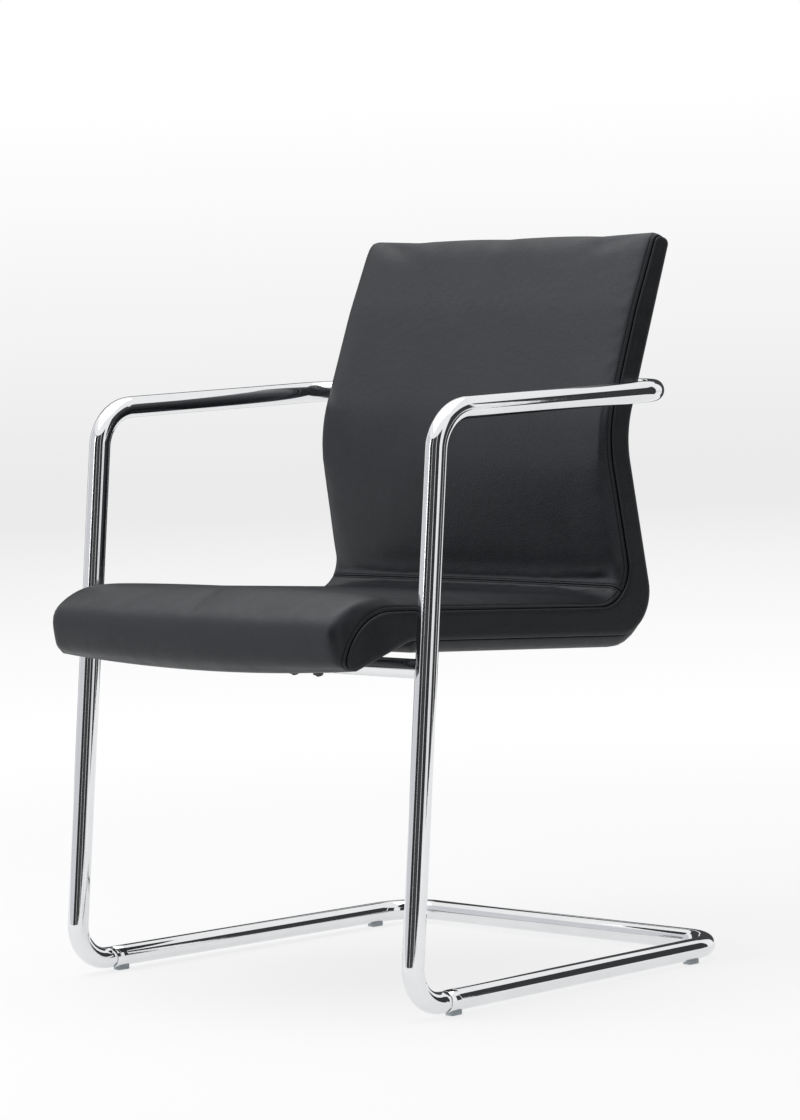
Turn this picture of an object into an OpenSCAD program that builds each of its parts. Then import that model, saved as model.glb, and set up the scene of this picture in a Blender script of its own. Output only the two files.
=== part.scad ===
// Cantilever visitor armchair: a bent chrome tube frame carries a moulded,
// upholstered seat shell. Front of the chair faces -Y, floor at Z = 0.

/* [Tube frame] */
// Outer diameter of the frame tube
tube_d = 25; // [22:0.5:28]
// Wall thickness of the frame tube
tube_wall = 2; // [1.5:0.1:2.5]
// Distance between the centre lines of the two front legs
leg_spacing = 570; // [550:5:620]
// Distance between the runner centre lines at the rear floor corners
rear_spacing = 530; // [500:5:560]
// Length of the floor frame between its front and rear corner points
runner_length = 530; // [500:5:580]
// Height of the arm centre line at the front corner point
arm_height = 668; // [640:2:700]
// How far the legs lean back from floor to arm
leg_setback = 74; // [50:2:100]
// Rise of the arms towards the back
arm_rise = 0.6; // [0:0.1:1.5]
// Centre line radius of the front bends at the floor
front_bend_r = 41; // [38:1:60]
// Centre line radius of the front bends at the arms
arm_bend_r = 50; // [38:1:60]
// Centre line radius of the bends behind the backrest
arm_end_bend_r = 60; // [45:1:70]
// Centre line radius of the rear floor corners
floor_bend_r = 55; // [45:1:95]
// Straight tube that a bent end has before it meets the next tube
end_stub = 25; // [20:1:35]

/* [Spring joint] */
// Straight tube between the front floor bend and the joint
joint_stub = 7; // [5:0.5:12]
// Open gap in the tube at the joint
joint_gap = 1.2; // [1:0.1:2]
// Length of the joint plug inside each runner
plug_length = 38; // [30:1:50]
// Length of the sleeves inside the butt joints of the tubes
sleeve_length = 40; // [30:1:40]
// Radial clearance of the plugs and sleeves in the tube
plug_clearance = 0.2; // [0.1:0.05:0.4]
// Radius of the bore through each joint plug
plug_bore_r = 3.4; // [3:0.1:4]

/* [Seat tube] */
// Outer diameter of the tube under the seat
seat_tube_d = 22; // [20:0.5:25]
// Wall thickness of the tube under the seat
seat_tube_wall = 1.5; // [1.2:0.1:2]
// Weld gap between the coped tube end and the leg
cope_gap = 0.2; // [0.1:0.05:0.4]

/* [Glides] */
// Thickness of a glide under the tube
glide_height = 4; // [3:0.5:6]
// Width of a glide
glide_width = 13; // [11:0.5:16]
// Length of a glide along the runner
glide_length = 17; // [14:0.5:24]
// Diameter of the stem that clips into the tube
glide_stem_d = 5; // [4:0.25:6]
// Distance of the front glides behind the front corner points
front_glide = 67; // [62:1:84]
// Distance of the rear glides ahead of the rear corner bends
rear_glide = 6; // [5:1:12]
// How far a glide wraps up round the tube
glide_wrap = 2; // [1.5:0.25:3]
// How far a glide's stem reaches past the tube wall
stem_reach = 3; // [2:0.5:4]

/* [Seat shell] */
// Width of the upholstered shell at the seat
shell_width = 492; // [440:4:504]
// Width of the shell at its top edge
top_width = 482; // [430:4:504]
// Height of the bend in the shell underside above the seat tube
bend_height = 414; // [400:1:425]
// Distance of that bend behind the front floor corner points
bend_setback = 58; // [50:1:70]
// Length of the drooping front edge
nose_length = 112; // [105:1:122]
// Downward slope of the front edge
nose_drop = 17.4; // [15:0.2:20]
// Lean of the front face of the nose
nose_lean = 25; // [21:0.5:28]
// Length of the seat underside
seat_length = 398; // [380:1:420]
// Rearward slope of the seat
seat_tilt = 3.9; // [2:0.1:6]
// Height of the arms' front corners above the waist of the back
waist_drop = 46.5; // [40:0.5:60]
// Forward lean of the lower back
lumbar_lean = 9.2; // [6:0.2:13]
// Length of the upper back
upper_back = 238; // [200:0.5:260]
// Rearward lean of the upper back
back_lean = 21.3; // [16:0.1:24]
// Thickness of the seat at its side, cover included
seat_pad = 32.5; // [30:0.5:36]
// Thickness of the back at its side, cover included
back_pad = 27.5; // [25:0.5:32]
// Thickness of the back at its top edge
top_pad = 21.5; // [19:0.5:24]
// Length over which the back thins towards its top edge
head_length = 95; // [80:5:110]
// Thickness of the moulded plywood
ply = 11; // [9:0.5:13]
// Thickness of the leather
leather = 1.5; // [1:0.1:2]
// Gap between layers that lie on each other
layer_gap = 0.3; // [0.2:0.05:0.5]
// Thickness of the side bands
band = 1.6; // [1:0.1:2.5]
// Distance ahead of the underside bend at which the seat leather meets the underside leather
cover_front = 73; // [70:1:76]
// Distance below the top edge at which the back leather meets the rear leather
cover_rear = 18; // [14:1:22]
// Reach of the plywood ahead of the underside bend
ply_front = 89; // [84:1:90]

/* [Rounding of the shell] */
// Radius of the underside bend
bend_r = 40; // [30:1:60]
// Outer radius of the corner between seat and back
corner_r = 50; // [46:1:70]
// Inner radius of the corner between seat and back
heel_r = 45; // [36:1:56]
// Outer radius of the waist
waist_r = 118; // [90:2:160]
// Radius at the tip of the nose
tip_r = 11.5; // [9:0.5:12.5]
// Radius over the front of the seat
front_r = 70; // [50:1:72]
// Radius where the back begins to thin
head_r = 300; // [200:10:400]
// Radius of the front top edge
top_front_r = 10; // [6:0.5:12]
// Radius of the rear top edge
top_rear_r = 7; // [5:0.5:9]

/* [Crown of the padding] */
// Width of the rounded sides of the padding
edge_roll = 13; // [10:1:26]
// Height of the rounded sides at the tip of the nose
tip_roll = 9; // [6:0.5:16]
// Height of the rounded sides at the front of the nose
nose_roll = 24; // [14:0.5:26]
// Height of the rounded sides at the front of the seat
front_roll = 13; // [8:0.5:18]
// Height of the rounded sides at the rear of the seat
rear_roll = 7; // [4:0.5:12]
// Height of the rounded sides above the seam between seat and back
heel_roll = 16; // [8:0.5:20]
// Height of the rounded sides at the lower back
lower_roll = 13; // [8:0.5:18]
// Height of the rounded sides at the upper back
upper_roll = 9; // [6:0.5:14]
// Height of the rounded sides at the top edge
top_roll = 3; // [2:0.5:6]
// Swell of the tip of the nose, towards the middle of the chair
tip_swell = 11; // [6:0.5:14]
// Swell of the front of the nose
nose_swell = 7; // [4:0.5:12]
// Swell of the seat
seat_swell = 5; // [2:0.5:8]
// Swell of the back
back_swell = 3; // [1:0.5:6]

/* [Underside pad] */
// Thickness of the pad under the seat
pad_height = 15.5; // [10:0.5:17]
// Distance of the pad's front edge behind the underside bend
pad_front = 6; // [4:1:20]
// How far round the rear corner the pad runs out, as a share of the corner
pad_round = 0.625; // [0.25:0.125:0.75]
// Inset of the pad from the side of the shell
pad_inset = 3; // [2:0.5:10]
// Slope length of the pad's front end
pad_slope = 8; // [4:1:12]

/* [Fixings] */
// Thickness of a saddle between the seat tube and the shell
seat_saddle = 11.5; // [8:0.5:13]
// Thickness of a saddle between the bar and the back
back_saddle = 6; // [5:0.5:9]
// Width of a saddle across the chair
saddle_width = 74; // [64:1:90]
// Depth of a saddle along the shell
saddle_depth = 24; // [20:1:28]
// Distance of the saddle centres from the middle of the chair
saddle_place = 88; // [70:1:155]
// Distance between the two screws of a saddle
screw_pitch = 40; // [30:1:50]
// Diameter of the screws
screw_d = 6; // [5:0.5:7]
// Diameter of the screw heads
head_d = 11; // [10:0.5:13]
// Height of the screw heads
head_h = 3; // [2.5:0.5:4.5]
// Height of the washers between the screw heads and the tube
washer_h = 2.5; // [2:0.25:4]
// Clearance around the screws
screw_clearance = 0.3; // [0.2:0.05:0.5]
// Outer diameter of a tee nut barrel
nut_d = 8.4; // [8.2:0.1:9.5]
// Outer diameter of a tee nut flange
nut_flange_d = 19; // [16:0.5:22]
// Thickness of a tee nut flange
nut_flange = 1.4; // [1:0.1:2]

/* [Hidden] */

chrome = "#c9ccd0";
steel = "#8f9296";
zinc = "#b9bcbf";
leather_black = "#33343a";
foam_grey = "#d9d3c4";
birch = "#c9a56f";
nylon = "#2b2c2e";
glide_grey = "#9aa3a8";

ROUND = 64;
ARC = 8;
tiny = 0.01;
bend_ease = 0.05;
bend_lap = 0.8;
overcut = 4;

tube_r = tube_d / 2;
bore_r = tube_r - tube_wall;
seat_tube_r = seat_tube_d / 2;
floor_z = glide_height + tube_r;
plug_r = bore_r - plug_clearance;
ball_r = plug_r - 2 * plug_clearance;
stem_hole_d = glide_stem_d + 2 * screw_clearance;
stem_pocket_d = glide_stem_d + 4 * screw_clearance;
washer_d = head_d + 3;
head_top_d = head_d - 3;
socket_d = screw_d - 2;
inner_half = shell_width / 2 - band - layer_gap;
skin = leather + layer_gap;

// Vector and list helpers
function reversed(v) = [for (i = [len(v) - 1:-1:0]) v[i]];
function unit(v) = v / norm(v);
function flat_cross(a, b) = a[0] * b[1] - a[1] * b[0];
function left_of(d) = [-d[1], d[0]];
function spun(v, angle) = [
    v[0] * cos(angle) - v[1] * sin(angle),
    v[0] * sin(angle) + v[1] * cos(angle)
];
function meet(p, u, q, v) = p + u * flat_cross(q - p, v) / flat_cross(u, v);
function yz(v) = [v[0], v[1]];

// Outline of the shell's rear and underside, from the nose to the top edge
nose_dir = [cos(nose_drop), sin(nose_drop)];
seat_dir = [cos(seat_tilt), -sin(seat_tilt)];
lower_dir = [-sin(lumbar_lean), cos(lumbar_lean)];
upper_dir = [sin(back_lean), cos(back_lean)];
bend_pt = [bend_setback, bend_height];
nose_pt = bend_pt - nose_length * nose_dir;
corner_pt = bend_pt + seat_length * seat_dir;
lower_back = (arm_height - waist_drop - corner_pt[1]) / lower_dir[1];
waist_pt = corner_pt + lower_back * lower_dir;
top_pt = waist_pt + upper_back * upper_dir;

// Outline of its front and upper side
seat_top = bend_pt + seat_pad * left_of(seat_dir);
lower_front = corner_pt + back_pad * left_of(lower_dir);
upper_front = waist_pt + back_pad * left_of(upper_dir);
front_pt = meet(seat_top, seat_dir, nose_pt, [sin(nose_lean), cos(nose_lean)]);
inner_corner_pt = meet(seat_top, seat_dir, lower_front, lower_dir);
inner_waist_pt = meet(lower_front, lower_dir, upper_front, upper_dir);
head_pt = top_pt - head_length * upper_dir + back_pad * left_of(upper_dir);
top_front_pt = top_pt + top_pad * left_of(upper_dir);
inner_waist_r = waist_r + back_pad;

// The sides lean inwards from the seat to the top edge
side_slope = (shell_width - top_width) / 2 / (top_pt[1] - bend_height);
side_lean = atan(side_slope);
function side_scale(z) = 1 - side_slope * (z - bend_height) / inner_half;

// The bar behind the back touches its saddles, the seat tube touches those under the seat
leg_slope = leg_setback / (arm_height - floor_z);
arm_slope = tan(arm_rise);
bar_normal = -left_of(upper_dir);
bar_y = (tube_r + back_saddle + waist_pt * bar_normal
    - (arm_height - arm_slope * leg_setback) * bar_normal[1]) / (bar_normal[0] + arm_slope * bar_normal[1]);
bar_z = arm_height + arm_slope * (bar_y - leg_setback);
seat_normal = -left_of(nose_dir);
seat_tube_z = (seat_tube_r + seat_saddle + bend_pt * seat_normal + leg_slope * floor_z * seat_normal[0])
    / (seat_normal[1] + leg_slope * seat_normal[0]);
seat_tube_y = leg_slope * (seat_tube_z - floor_z);

// Corner points of the frame for the side with x = side * half the spacing
function foot(side) = [side * leg_spacing / 2, 0, floor_z];
function arm_corner(side) = [side * leg_spacing / 2, leg_setback, arm_height];
function bar_corner(side) = [side * leg_spacing / 2, bar_y, bar_z];
function rear_corner(side) = [side * rear_spacing / 2, runner_length, floor_z];
function runner_dir(side) = unit(rear_corner(side) - foot(side));
function on_runner(side, along) = foot(side) + along * runner_dir(side);
function bend_setoff(a, b, c, r) = r * tan(acos(unit(b - a) * unit(c - b)) / 2);
foot_setoff = bend_setoff(arm_corner(1), foot(1), rear_corner(1), front_bend_r);
joint_along = foot_setoff + joint_stub;
runner_front = joint_along + joint_gap / 2;
rear_setoff = bend_setoff(foot(1), rear_corner(1), rear_corner(-1), floor_bend_r);
rear_tangent = norm(rear_corner(1) - foot(1)) - rear_setoff;
runner_end = rear_tangent - end_stub;
bar_half = leg_spacing / 2 - arm_end_bend_r - end_stub;

// Rounded corner b between a and c, as points [y, z, crown] with the crown going from k to l.
// A crown is the height of the rounded sides and the swell of the middle above them.
function corner_arc(a, b, c, r, k, l, n) =
    let(u = unit(a - b), v = unit(c - b), h = acos(u * v) / 2, mid = b + unit(u + v) * r / sin(h))
    let(spoke = b + u * r / tan(h) - mid, sweep = (180 - 2 * h) * sign(flat_cross(b - a, c - b)))
    [for (i = [0:n]) let(p = mid + spun(spoke, sweep * i / n)) [p[0], p[1], k + (l - k) * i / n]];

// Open path through rounded corners [y, z, radius, crown before, crown after]
no_crown = [0, 0];
function rounded(v, n = ARC) = [
    [v[0][0], v[0][1], no_crown],
    for (i = [1:len(v) - 2])
        each corner_arc(yz(v[i - 1]), yz(v[i]), yz(v[i + 1]), v[i][2], v[i][3], v[i][4], n),
    [v[len(v) - 1][0], v[len(v) - 1][1], no_crown]
];

// The rear outline moved into the shell by d, with its radii following
function rear_line(d, front, from_top) =
    let(a = bend_pt - front * nose_dir + d * left_of(nose_dir))
    let(b = meet(bend_pt + d * left_of(nose_dir), nose_dir, bend_pt + d * left_of(seat_dir), seat_dir))
    let(c = meet(bend_pt + d * left_of(seat_dir), seat_dir, corner_pt + d * left_of(lower_dir), lower_dir))
    let(e = meet(corner_pt + d * left_of(lower_dir), lower_dir, waist_pt + d * left_of(upper_dir), upper_dir))
    let(f = top_pt - from_top * upper_dir + d * left_of(upper_dir))
    rounded([
        a,
        [b[0], b[1], bend_r + d, no_crown, no_crown],
        [c[0], c[1], corner_r - d, no_crown, no_crown],
        [e[0], e[1], waist_r + d, no_crown, no_crown],
        f
    ]);

// The padded side, from the underside of the nose over seat and back to the rear top edge
cover_start = bend_pt - cover_front * nose_dir;
cover_end = top_pt - cover_rear * upper_dir;
nose_crown = [nose_roll, nose_swell];
heel_crown = [heel_roll, back_swell];
lower_crown = [lower_roll, back_swell];
upper_crown = [upper_roll, back_swell];
pad_line = rounded([
    cover_start,
    [nose_pt[0], nose_pt[1], tip_r, [0, tip_swell], [tip_roll, tip_swell]],
    [front_pt[0], front_pt[1], front_r, nose_crown, [front_roll, seat_swell]],
    [inner_corner_pt[0], inner_corner_pt[1], heel_r, [rear_roll, back_swell], heel_crown],
    [inner_waist_pt[0], inner_waist_pt[1], inner_waist_r, lower_crown, upper_crown],
    [head_pt[0], head_pt[1], head_r, upper_crown, upper_crown],
    [top_front_pt[0], top_front_pt[1], top_front_r, upper_crown, [top_roll, 0]],
    [top_pt[0], top_pt[1], top_rear_r, no_crown, no_crown],
    cover_end
]);
// Index of the seam between seat and back, at the middle of the inner corner
seam_at = 1 + 2 * (ARC + 1) + ARC / 2;
top_end = len(pad_line) - 1;

function pad_normal(i) =
    let(a = pad_line[max(i - 1, 0)], b = pad_line[min(i + 1, top_end)])
    left_of(unit(yz(b) - yz(a)));
function rolled(x) = let(d = inner_half - abs(x)) d < edge_roll ? sqrt(1 - pow(1 - d / edge_roll, 2)) : 1;
function swelled(x) = 1 - pow(x / inner_half, 2);
function pad_point(i, x, depth) =
    let(p = yz(pad_line[i]) + pad_normal(i) * (pad_line[i][2] * [rolled(x), swelled(x)] - depth))
    [x * side_scale(p[1]), p[0], p[1]];

// Front-most point of the crowned nose, which with the rear tube sets the origin
nose_y = min([for (i = [1:ARC + 2]) pad_point(i, 0, 0)[1]]);
middle_y = (nose_y + runner_length + tube_r) / 2;

// Places across the chair where the padding has a section, from left to right
half_across = [
    for (a = [0:22.5:90]) inner_half - edge_roll * (1 - cos(a)),
    for (s = [0.6, 0.3]) s * (inner_half - edge_roll)
];
across = concat(-half_across, [0], reversed(half_across));

// Moves the whole chair so that its origin is under the middle of its box
module in_place() {
    translate([0, -middle_y, 0])
        children();
}

// Ring section of a tube
module ring(r_out, r_in) {
    difference() {
        circle(r_out, $fn = ROUND);
        circle(r_in, $fn = ROUND);
    }
}

// Places children with their Z axis along dir, and their X axis across the chair where it can
module along(p, dir) {
    z = unit(dir);
    y = unit(cross(z, abs(z[0]) > 0.9 ? [0, 1, 0] : [1, 0, 0]));
    x = cross(y, z);
    multmatrix([
        [x[0], y[0], z[0], p[0]],
        [x[1], y[1], z[1], p[1]],
        [x[2], y[2], z[2], p[2]],
        [0, 0, 0, 1]
    ])
        children();
}

// Straight tube from a to b
module straight(a, b, r_out, r_in) {
    along(a, b - a)
        linear_extrude(norm(b - a))
            ring(r_out, r_in);
}

// Direction in which a path that runs along u turns to run along v
function inward(u, v) = unit(v - u * (u * v));
function turn_at(path, i) = acos(unit(path[i] - path[i - 1]) * unit(path[i + 1] - path[i]));
function setback_at(path, radii, i) = i == 0 || i == len(path) - 1 ? 0 : radii[i] * tan(turn_at(path, i) / 2);
// Turn about its own line that a tube needs between bends i and i + 1
function twist_at(path, i) =
    let(u = unit(path[i] - path[i - 1]), v = unit(path[i + 1] - path[i]), w = unit(path[i + 2] - path[i + 1]))
    let(x = inward(u, v) * cos(turn_at(path, i)) - u * sin(turn_at(path, i)), y = cross(u, inward(u, v)))
    atan2(inward(v, w) * y, inward(v, w) * x);

// Round bar along a path, from its straight i on, with bends of the given radii.
// The bends are a hair slimmer than the straights and lap into them at both ends.
module bent_bar(path, radii, r, past, i = 0) {
    last = i + 2 == len(path);
    run = norm(path[i + 1] - path[i]) - setback_at(path, radii, i) - setback_at(path, radii, i + 1);
    translate([0, 0, i == 0 ? -past : 0])
        cylinder(r = r, h = run + (i == 0 ? past : 0) + (last ? past : 0), $fn = ROUND);
    if (!last) {
        turn = turn_at(path, i + 1);
        translate([radii[i + 1], 0, run]) {
            rotate([0, -bend_lap, 0])
                rotate([90, 0, 180])
                    rotate_extrude(angle = turn + 2 * bend_lap, $fn = 96)
                        translate([radii[i + 1], 0])
                            circle(r - bend_ease, $fn = ROUND);
            rotate([0, turn, 0])
                translate([-radii[i + 1], 0, 0])
                    rotate([0, 0, i + 3 < len(path) ? twist_at(path, i + 1) : 0])
                        bent_bar(path, radii, r, past, i + 1);
        }
    }
}

// Bent tube along a path, starting at its first point
module bent_tube(path, radii, r_out, r_in) {
    u = unit(path[1] - path[0]);
    x = inward(u, unit(path[2] - path[1]));
    y = cross(u, x);
    multmatrix([
        [x[0], y[0], u[0], path[0][0]],
        [x[1], y[1], u[1], path[0][1]],
        [x[2], y[2], u[2], path[0][2]],
        [0, 0, 0, 1]
    ])
        difference() {
            bent_bar(path, radii, r_out, 0);
            bent_bar(path, radii, r_in, 1);
        }
}

// Solid rod along dir, centred on p
module rod(p, dir, r, length) {
    along(p, dir)
        cylinder(r = r, h = length, center = true, $fn = ROUND);
}

// Flat outline in the plane of the chair's side, given depth across the chair
module side_profile(points, x_from, x_to) {
    translate([x_from, 0, 0])
        rotate([90, 0, 90])
            linear_extrude(x_to - x_from)
                polygon([for (p = points) yz(p)]);
}

// Puts what is drawn at x = 0 into the leaning outer face of one side of the shell
module on_side(side) {
    translate([side * shell_width / 2, 0, bend_height])
        rotate([0, -side * side_lean, 0])
            translate([0, 0, -bend_height])
                children();
}

// Layer across the whole shell, cut off at a distance from its leaning sides
module across_shell(points, inset) {
    difference() {
        side_profile(points, -shell_width / 2 - inset, shell_width / 2 + inset);
        for (side = [-1, 1])
            on_side(side)
                translate([side * (shell_width / 2 - inset), 0, shell_width])
                    cube([shell_width, 4 * shell_width, 4 * shell_width], center = true);
    }
}

// Solid between an outer and an inner sheet, each a list of equally long rows across the chair
module slab(outer, inner) {
    n = len(outer[0]);
    last = len(outer) - 1;
    function o(j, i) = 2 * n * j + i;
    function q(j, i) = 2 * n * j + n + i;
    polyhedron(
        points = [for (j = [0:last]) each concat(outer[j], inner[j])],
        faces = [
            for (j = [0:last - 1]) for (i = [0:n - 2]) each [
                [o(j, i), o(j, i + 1), o(j + 1, i + 1)],
                [o(j, i), o(j + 1, i + 1), o(j + 1, i)],
                [q(j, i), q(j + 1, i + 1), q(j, i + 1)],
                [q(j, i), q(j + 1, i), q(j + 1, i + 1)]
            ],
            for (j = [0:last - 1]) each [
                [o(j, 0), o(j + 1, 0), q(j + 1, 0)],
                [o(j, 0), q(j + 1, 0), q(j, 0)],
                [o(j, n - 1), q(j + 1, n - 1), o(j + 1, n - 1)],
                [o(j, n - 1), q(j, n - 1), q(j + 1, n - 1)]
            ],
            for (i = [0:n - 2]) each [
                [o(0, i), q(0, i + 1), o(0, i + 1)],
                [o(0, i), q(0, i), q(0, i + 1)],
                [o(last, i), o(last, i + 1), q(last, i + 1)],
                [o(last, i), q(last, i + 1), q(last, i)]
            ]
        ]
    );
}

function sheet(first, last, depth) = [
    for (x = across) [for (i = [first:last]) pad_point(i, x, depth)]
];

// Leather layer of the padded side between two points of its line
module pad_skin(first, last) {
    slab(sheet(first, last, 0), sheet(first, last, leather));
}

// Foam between the leather and the plywood, whose side is a row of as many points
module foam(first, last, ply_side) {
    slab(
        sheet(first, last, skin),
        [for (x = across) [for (p = ply_side) [x * side_scale(p[1]), p[0], p[1]]]]
    );
}

// Centre, direction into the shell, tube radius and saddle thickness of one row of screws
seat_fix = [[0, seat_tube_y, seat_tube_z], [0, -seat_normal[0], -seat_normal[1]], seat_tube_r, seat_saddle];
back_fix = [[0, bar_y, bar_z], [0, -bar_normal[0], -bar_normal[1]], tube_r, back_saddle];
saddle_start = 0.35;
screw_places = [for (s = [-1, 1]) for (t = [-1, 1]) s * saddle_place + t * screw_pitch / 2];

// Height of layers above the tube's centre, along a screw
function shell_at(fix) = fix[2] + fix[3];
function ply_top_at(fix) = shell_at(fix) + skin + ply;

// Children at each screw of a row, with Z along the screw and zero at the tube's centre
module at_screws(fix) {
    for (x = screw_places)
        along(fix[0] + [x, 0, 0], fix[1])
            children();
}

// Clearance holes for the screws of a row
module screw_holes(fix, from, to) {
    at_screws(fix)
        translate([0, 0, from])
            cylinder(d = screw_d + 2 * screw_clearance, h = to - from, $fn = ROUND);
}

// Runner of the floor frame, from the joint to the stub of its rear bend
module runner(side) {
    color(chrome)
        in_place()
            difference() {
                straight(on_runner(side, runner_front), on_runner(side, runner_end), tube_r, bore_r);
                glide_hole(side, front_glide);
            }
}

// Hole in the tube for the stem of a glide
module glide_hole(side, along_runner) {
    p = on_runner(side, along_runner);
    translate([p[0], p[1], p[2] - tube_r - overcut])
        cylinder(d = stem_hole_d, h = tube_r, $fn = ROUND);
}

// Rear part of the floor frame with its two corner bends
module floor_rear_bend() {
    path = [on_runner(-1, runner_end), rear_corner(-1), rear_corner(1), on_runner(1, runner_end)];
    color(chrome)
        in_place()
            difference() {
                bent_tube(path, [0, floor_bend_r, floor_bend_r, 0], tube_r, bore_r);
                for (side = [-1, 1])
                    glide_hole(side, rear_tangent - rear_glide);
            }
}

// Sleeve inside a butt joint at p, with its length along dir
module sleeve(p, dir) {
    straight(p - sleeve_length / 2 * dir, p + sleeve_length / 2 * dir, plug_r, plug_r - tube_wall);
}

// Sleeves where the runners meet the rear part of the floor frame
module floor_sleeves() {
    color(steel)
        in_place()
            difference() {
                for (side = [-1, 1])
                    sleeve(on_runner(side, runner_end), runner_dir(side));
                for (side = [-1, 1])
                    glide_pocket(side, rear_tangent - rear_glide);
            }
}

// Clip-in glides under both runners
module glides() {
    rise = glide_height + glide_wrap;
    stem_top = glide_height + tube_wall + stem_reach;
    color(glide_grey)
        in_place()
            for (side = [-1, 1])
                for (g = [front_glide, rear_tangent - rear_glide])
                    let(p = on_runner(side, g), dir = runner_dir(side))
                        translate([p[0], p[1], 0])
                            difference() {
                                union() {
                                    rotate([0, 0, atan2(dir[1], dir[0])])
                                        translate([-glide_length / 2, -glide_width / 2, 0])
                                            cube([glide_length, glide_width, rise]);
                                    cylinder(d = glide_stem_d, h = stem_top, $fn = ROUND);
                                }
                                difference() {
                                    rod([0, 0, floor_z], dir, tube_r + layer_gap / 2, 2 * glide_length);
                                    cylinder(d = glide_stem_d, h = floor_z, $fn = ROUND);
                                }
                            }
}

// Plugs in the runners, each with a ball end that the side tube turns on
module joint_plugs() {
    color(steel)
        in_place()
            for (side = [-1, 1])
                difference() {
                    union() {
                        straight(on_runner(side, joint_along), on_runner(side, runner_front + plug_length),
                            plug_r, plug_bore_r);
                        translate(on_runner(side, joint_along))
                            sphere(r = ball_r, $fn = ROUND);
                    }
                    glide_pocket(side, front_glide);
                }
}

// Room in a plug or sleeve for the stem of a glide
module glide_pocket(side, along_runner) {
    p = on_runner(side, along_runner);
    translate([p[0], p[1], glide_height])
        cylinder(d = stem_pocket_d, h = tube_r, $fn = ROUND);
}

// Front leg, arm and the bend behind the back, one bent tube on each side
module side_tube(side) {
    path = [
        on_runner(side, joint_along - joint_gap / 2),
        foot(side),
        arm_corner(side),
        bar_corner(side),
        [side * bar_half, bar_y, bar_z]
    ];
    color(chrome)
        in_place()
            bent_tube(path, [0, front_bend_r, arm_bend_r, arm_end_bend_r, 0], tube_r, bore_r);
}

// Straight bar between the two side tubes, behind the back
module back_bar() {
    color(chrome)
        in_place()
            difference() {
                straight([-bar_half, bar_y, bar_z], [bar_half, bar_y, bar_z], tube_r, bore_r);
                screw_holes(back_fix, -tube_r - overcut, tube_r + overcut);
            }
}

// Sleeves where the bar meets both side tubes
module bar_sleeves() {
    color(steel)
        in_place()
            for (side = [-1, 1])
                sleeve([side * bar_half, bar_y, bar_z], [1, 0, 0]);
}

// Tube between the legs under the front of the seat, coped to them
module seat_tube() {
    color(chrome)
        in_place()
            difference() {
                straight(
                    [-leg_spacing / 2, seat_tube_y, seat_tube_z],
                    [leg_spacing / 2, seat_tube_y, seat_tube_z],
                    seat_tube_r,
                    seat_tube_r - seat_tube_wall
                );
                for (side = [-1, 1])
                    rod([side * leg_spacing / 2, seat_tube_y, seat_tube_z], arm_corner(side) - foot(side),
                        tube_r + cope_gap, 4 * tube_d);
                screw_holes(seat_fix, -seat_tube_r - overcut, seat_tube_r + overcut);
            }
}

// Saddles that space the shell from a tube, and reach a little way round it
module saddles(fix) {
    wrap = saddle_start * fix[2];
    color(nylon)
        in_place()
            difference() {
                for (s = [-1, 1])
                    along(fix[0] + [s * saddle_place, 0, 0], fix[1])
                        translate([-saddle_width / 2, -saddle_depth / 2, wrap])
                            cube([saddle_width, saddle_depth, shell_at(fix) - layer_gap - wrap]);
                rod(fix[0], [1, 0, 0], fix[2] + layer_gap / 2, shell_width);
                screw_holes(fix, 0, shell_at(fix) + overcut);
            }
}

// Washers that seat the screw heads on the round tube
module washers(fix) {
    color(zinc)
        in_place()
            difference() {
                at_screws(fix)
                    translate([0, 0, -fix[2] - washer_h / 2])
                        cylinder(d = washer_d, h = 1.5 * washer_h, $fn = ROUND);
                rod(fix[0], [1, 0, 0], fix[2] + layer_gap / 2, shell_width);
                screw_holes(fix, -fix[2] - washer_h, 0);
            }
}

// Button head screws through the tube into the tee nuts
module screws(fix) {
    base = -fix[2] - washer_h / 2 - tiny;
    color(zinc)
        in_place()
            at_screws(fix)
                difference() {
                    union() {
                        translate([0, 0, base - head_h])
                            cylinder(d1 = head_top_d, d2 = head_d, h = head_h, $fn = ROUND);
                        translate([0, 0, base - tiny])
                            cylinder(d = screw_d, h = ply_top_at(fix) - base - 1, $fn = ROUND);
                    }
                    translate([0, 0, base - head_h - tiny])
                        cylinder(d = socket_d, h = head_h / 2, $fn = 6);
                }
}

// Tee nuts let into the plywood from the foam side
module tee_nuts(fix) {
    top = ply_top_at(fix);
    color(zinc)
        in_place()
            at_screws(fix)
                difference() {
                    union() {
                        translate([0, 0, top - nut_flange])
                            cylinder(d = nut_flange_d, h = nut_flange, $fn = ROUND);
                        translate([0, 0, top - ply + 1])
                            cylinder(d = nut_d, h = ply - 1 - tiny, $fn = ROUND);
                    }
                    translate([0, 0, top - ply])
                        cylinder(d = screw_d + screw_clearance, h = ply + 1, $fn = ROUND);
                }
}

// Pockets in the plywood for the tee nuts of a row
module nut_pockets(fix) {
    top = ply_top_at(fix);
    at_screws(fix) {
        translate([0, 0, top - nut_flange - layer_gap / 3])
            cylinder(d = nut_flange_d + layer_gap, h = overcut, $fn = ROUND);
        translate([0, 0, top - ply - overcut])
            cylinder(d = nut_d + layer_gap, h = ply + overcut, $fn = ROUND);
    }
}

ply_from_top = top_rear_r + 0.5;
ply_rear_face = rear_line(skin, ply_front, ply_from_top);
ply_front_face = rear_line(skin + ply, ply_front, ply_from_top);

// Moulded plywood shell, bent once through seat and back
module ply_shell() {
    color(birch)
        in_place()
            difference() {
                across_shell(concat(ply_rear_face, reversed(ply_front_face)), band + layer_gap);
                nut_pockets(seat_fix);
                nut_pockets(back_fix);
            }
}

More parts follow.
